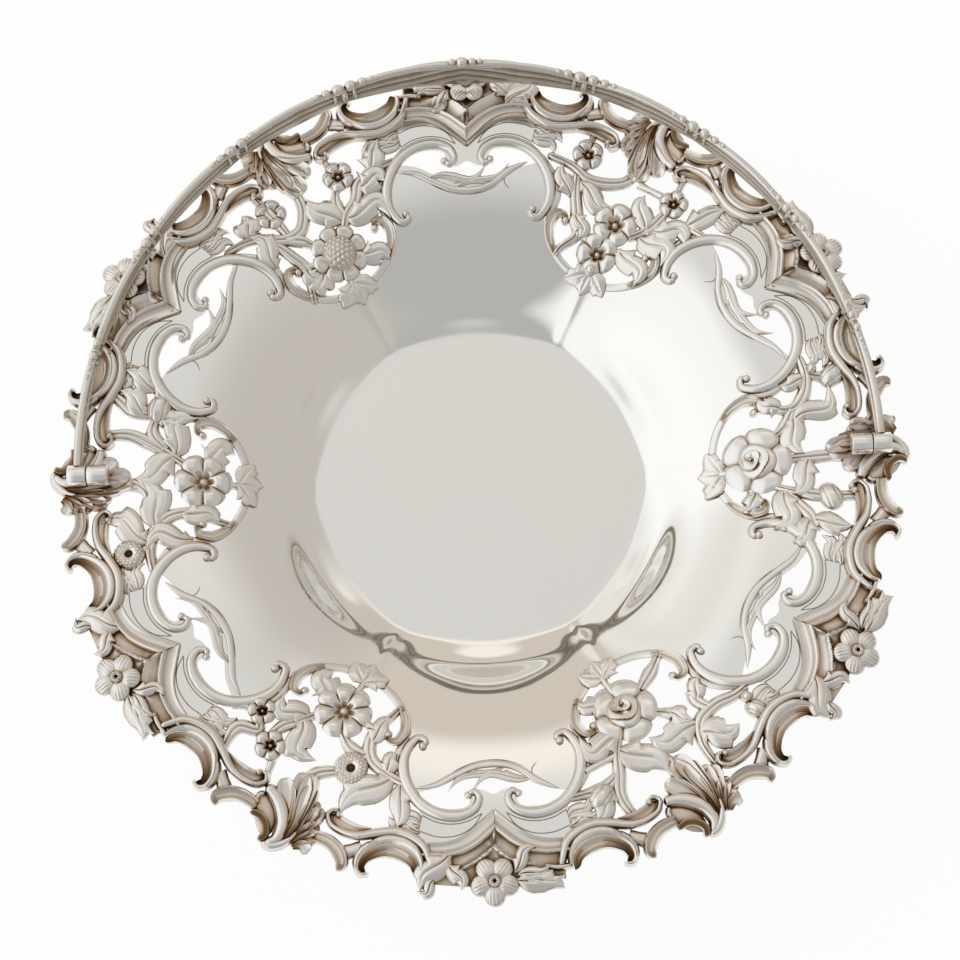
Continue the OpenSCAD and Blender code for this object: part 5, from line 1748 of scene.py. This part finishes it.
@dataclass
class Foot:
    """Spreading foot: a flared skirt over a moulded border that stands on the table."""

    height: float = 24.0
    top_r: float = 50.0
    base_r: float = 67.0
    wall: float = 1.4
    border_h: float = 4.0
    border_w: float = 7.0
    flare: float = 2.2
    steps: int = 180
    # Section of the border from its outer foot: shares inwards and upwards, and recess values, which darken
    # its cove, its top under the skirt and its inner side as tarnish and painted shade
    moulding: tuple[tuple[float, float, float], ...] = (
        (0.2, 0, 0.2), (0.05, 0.08, 0), (0, 0.3, 0), (0.05, 0.5, 0.2), (0.14, 0.56, 0.9), (0.14, 0.66, 0.9),
        (0.2, 0.78, 0.1), (0.32, 0.86, 0), (0.36, 1, 0.3), (1, 1, 0.5), (1, 0, 0.5))

    def lathe(self, shape: Shape, radii: Array, heights: Array, tones: Array) -> None:
        """Turn a closed section round the basket's axis.

        Args:
            shape: shape to add to.
            radii: distances from the axis, from the section's outer foot upwards and back.
            heights: heights above the table.
            tones: recess values.
        """
        angle = np.linspace(0, 2 * np.pi, self.steps, endpoint=False)
        r, z = np.append(radii, radii[0])[:, None], np.append(heights, heights[0])[:, None]
        points = np.stack([r * np.cos(angle), r * np.sin(angle), z + 0 * angle], axis=-1)
        shape.grid(points[::-1], np.append(tones, tones[0])[::-1, None], True, False)

    def build(self) -> None:
        """Build the skirt, whose radius grows as the power of its fall, and the border."""
        fall = np.linspace(1, 0, 24)
        out = self.base_r - self.border_w / 2
        radii = self.top_r + (out - self.top_r) * fall ** self.flare
        heights = self.height - (self.height - self.border_h) * fall
        skirt = Shape()
        self.lathe(skirt, np.concatenate([radii, radii[::-1] - self.wall]),
                   np.concatenate([heights, heights[::-1]]), np.zeros(2 * len(fall)))
        skirt.make("foot_flare", [RAISED], BASKET, "foot_skirt")
        border = Shape()
        inward, up, tones = np.array(self.moulding).T
        self.lathe(border, self.base_r - inward * self.border_w, up * self.border_h, tones)
        border.make("foot_moulding", [MOULDED], BASKET, "foot_border")


@dataclass
class Studio:
    """White table, soft light from the left, and the camera above the front of the basket."""

    wall: Wall
    tilt: float = 15.94
    roll: float = 2.37
    distance: float = 780.0
    lens: float = 75.0
    sensor: float = 36.0
    image: float = 960.0
    middle: tuple[float, float] = (480.6, 484.8)
    table_half: float = 3.0
    glow: float = 0.93
    strength: float = 1.11
    left_glow: float = 0.97
    lamps: tuple[tuple[str, tuple[float, float, float], float, float, str], ...] = (
        ("left_softbox", (-0.95, 0.3, 0.85), 0.6, 3.2, "#FFFFFF"),
        ("back_softbox", (-0.3, 1.1, 1.0), 0.6, 2.0, "#FFF8F0"))
    zenith: str = "#D4D3D0"
    # Layers of the room, each over those before: colour, and where it fades in along which axes
    room: tuple[tuple, ...] = (
        ("#B1B1B0", ("Y", 0.0, -0.38)),
        ("#F4EEE6", ("Y", 0.4, 0.7)),
        ("#CDC4B9", ("Y", 0.5, 0.75), ("Z", 0.71, 0.58)),
        ("#C0BBB5", ("X", 0.25, 0.6)),
        ("#6C655E", ("Y", 0.8, 0.4), ("Z", 0.3, 0.02)),
        ("#F6F6F5", ("X", -0.3, -0.48)),
        ("#E2DFDA", ("X", -0.3, -0.5), ("Y", 0.35, 0.55)),
        ("#8E877F", ("X", -0.4, -0.7), ("Z", 0.2, 0.0)))
    left_fade: tuple[tuple[str, float, float], ...] = (("X", -0.48, -0.8), ("Z", 0.1, 0.5))

    def table(self) -> None:
        """Lay a white table that keeps the basket's shadow, reads as white, and is clear from below."""
        half = self.table_half
        mesh = bpy.data.meshes.new("table")
        corners = [(-half, -half, 0), (half, -half, 0), (half, half, 0), (-half, half, 0)]
        mesh.from_pydata(corners, [], [(0, 1, 2, 3)])
        table = bpy.data.objects.new("table", mesh)
        bpy.context.scene.collection.objects.link(table)
        material = bpy.data.materials.new("white_table_paper")
        material.use_nodes = True
        tree = material.node_tree
        tree.nodes.clear()
        light = add_node(tree, "ShaderNodeLightPath")
        seen = light.outputs["Is Camera Ray"]
        for kind in ("Is Glossy Ray", "Is Transmission Ray"):
            seen = work_out(tree, "MAXIMUM", seen, light.outputs[kind])
        share = work_out(tree, "MULTIPLY", seen, self.glow)
        paper = add_node(tree, "ShaderNodeBsdfDiffuse", None, {"Color": linear("#F6F6F6")})
        glow = add_node(tree, "ShaderNodeEmission", None, {"Color": linear("#FFFFFF"), "Strength": 1.0})
        mixed = add_node(tree, "ShaderNodeMixShader", None,
                         {0: share, 1: paper.outputs[0], 2: glow.outputs[0]})
        clear = add_node(tree, "ShaderNodeBsdfTransparent")
        side = add_node(tree, "ShaderNodeNewGeometry")
        mixed = add_node(tree, "ShaderNodeMixShader", None,
                         {0: side.outputs["Backfacing"], 1: mixed.outputs[0], 2: clear.outputs[0]})
        add_node(tree, "ShaderNodeOutputMaterial", None, {"Surface": mixed.outputs[0]})
        mesh.materials.append(material)

    def sky(self) -> None:
        """Set the room's light: white on the left, cream behind, and greys in front, right and low down."""
        world = bpy.data.worlds.new("studio_room")
        bpy.context.scene.world = world
        world.use_nodes = True
        tree = world.node_tree
        tree.nodes.clear()
        place = add_node(tree, "ShaderNodeTexCoord")
        axes = add_node(tree, "ShaderNodeSeparateXYZ", None, {0: place.outputs["Generated"]})
        tone = linear(self.zenith)
        layers = [(linear(colour), fades) for colour, *fades in self.room]
        layers.append(((*(3 * [self.left_glow]), 1.0), self.left_fade))
        for colour, fades in layers:
            share = 1.0
            for axis, start, end in fades:
                fade = ramp(tree, axes.outputs[axis], (start, end), curve="SMOOTHSTEP")
                share = work_out(tree, "MULTIPLY", share, fade)
            tone = mix(tree, share, tone, colour)
        room = add_node(tree, "ShaderNodeBackground", None, {"Color": tone, "Strength": self.strength})
        white = add_node(tree, "ShaderNodeBackground", None, {"Color": linear("#FFFFFF"), "Strength": 1.0})
        light = add_node(tree, "ShaderNodeLightPath")
        mixed = add_node(tree, "ShaderNodeMixShader", None,
                         {0: light.outputs["Is Camera Ray"], 1: room.outputs[0], 2: white.outputs[0]})
        add_node(tree, "ShaderNodeOutputWorld", None, {"Surface": mixed.outputs[0]})

    def light(self) -> None:
        """Hang the soft boxes, each aimed at the bowl."""
        aim = Vector((0, 0, self.wall.floor_z * MM))
        for name, place, size, power, colour in self.lamps:
            lamp = bpy.data.lights.new(name, "AREA")
            lamp.shape, lamp.size, lamp.energy = "DISK", size, power
            lamp.color = linear(colour)[:3]
            box = bpy.data.objects.new(name, lamp)
            box.location = place
            box.rotation_euler = (aim - Vector(place)).to_track_quat("-Z", "Y").to_euler()
            box.visible_glossy = False
            bpy.context.scene.collection.objects.link(box)

    def camera(self) -> None:
        """Set the camera as the photograph was taken: tilted off the vertical and a little rolled."""
        data = bpy.data.cameras.new("camera")
        data.lens, data.sensor_width = self.lens, self.sensor
        data.shift_x = (self.image / 2 - self.middle[0]) / self.image
        data.shift_y = (self.middle[1] - self.image / 2) / self.image
        tilt, roll = math.radians(self.tilt), math.radians(self.roll)
        right, up = Vector((1, 0, 0)), Vector((0, math.cos(tilt), math.sin(tilt)))
        back = Vector((0, -math.sin(tilt), math.cos(tilt)))
        turned_right = math.cos(roll) * right - math.sin(roll) * up
        turned_up = math.sin(roll) * right + math.cos(roll) * up
        camera = bpy.data.objects.new("camera", data)
        place = Vector((0, 0, self.wall.floor_z * MM)) + back * self.distance * MM
        turn = Matrix((turned_right, turned_up, back)).transposed().to_4x4()
        camera.matrix_world = Matrix.Translation(place) @ turn
        bpy.context.scene.collection.objects.link(camera)
        bpy.context.scene.camera = camera

    def build(self) -> None:
        """Build the table, the light and the camera."""
        self.table()
        self.sky()
        self.light()
        self.camera()
        bpy.context.scene.view_settings.view_transform = "Standard"


def main() -> None:
    """Dress the frame piece by piece."""
    logging.basicConfig(level=logging.INFO, format="%(message)s")
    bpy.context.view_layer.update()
    wall = Wall()
    Bowl(wall).build()
    for k, (panel, lobe) in enumerate(zip(PANEL_AXES, LOBE_AXES)):
        FloralPanel(wall, k + 1, panel, PANELS[k]).build()
        RimSection(wall, k + 1, lobe).build()
        RimShell(wall, k + 1, panel).build()
        RimFlower(wall, k + 1, lobe).build()
    for side, turn in SIDES.items():
        Hinge(side, turn).build()
    Bail().build()
    Foot().build()
    Studio(wall).build()
    bpy.context.view_layer.update()


if __name__ == "__main__":
    main()
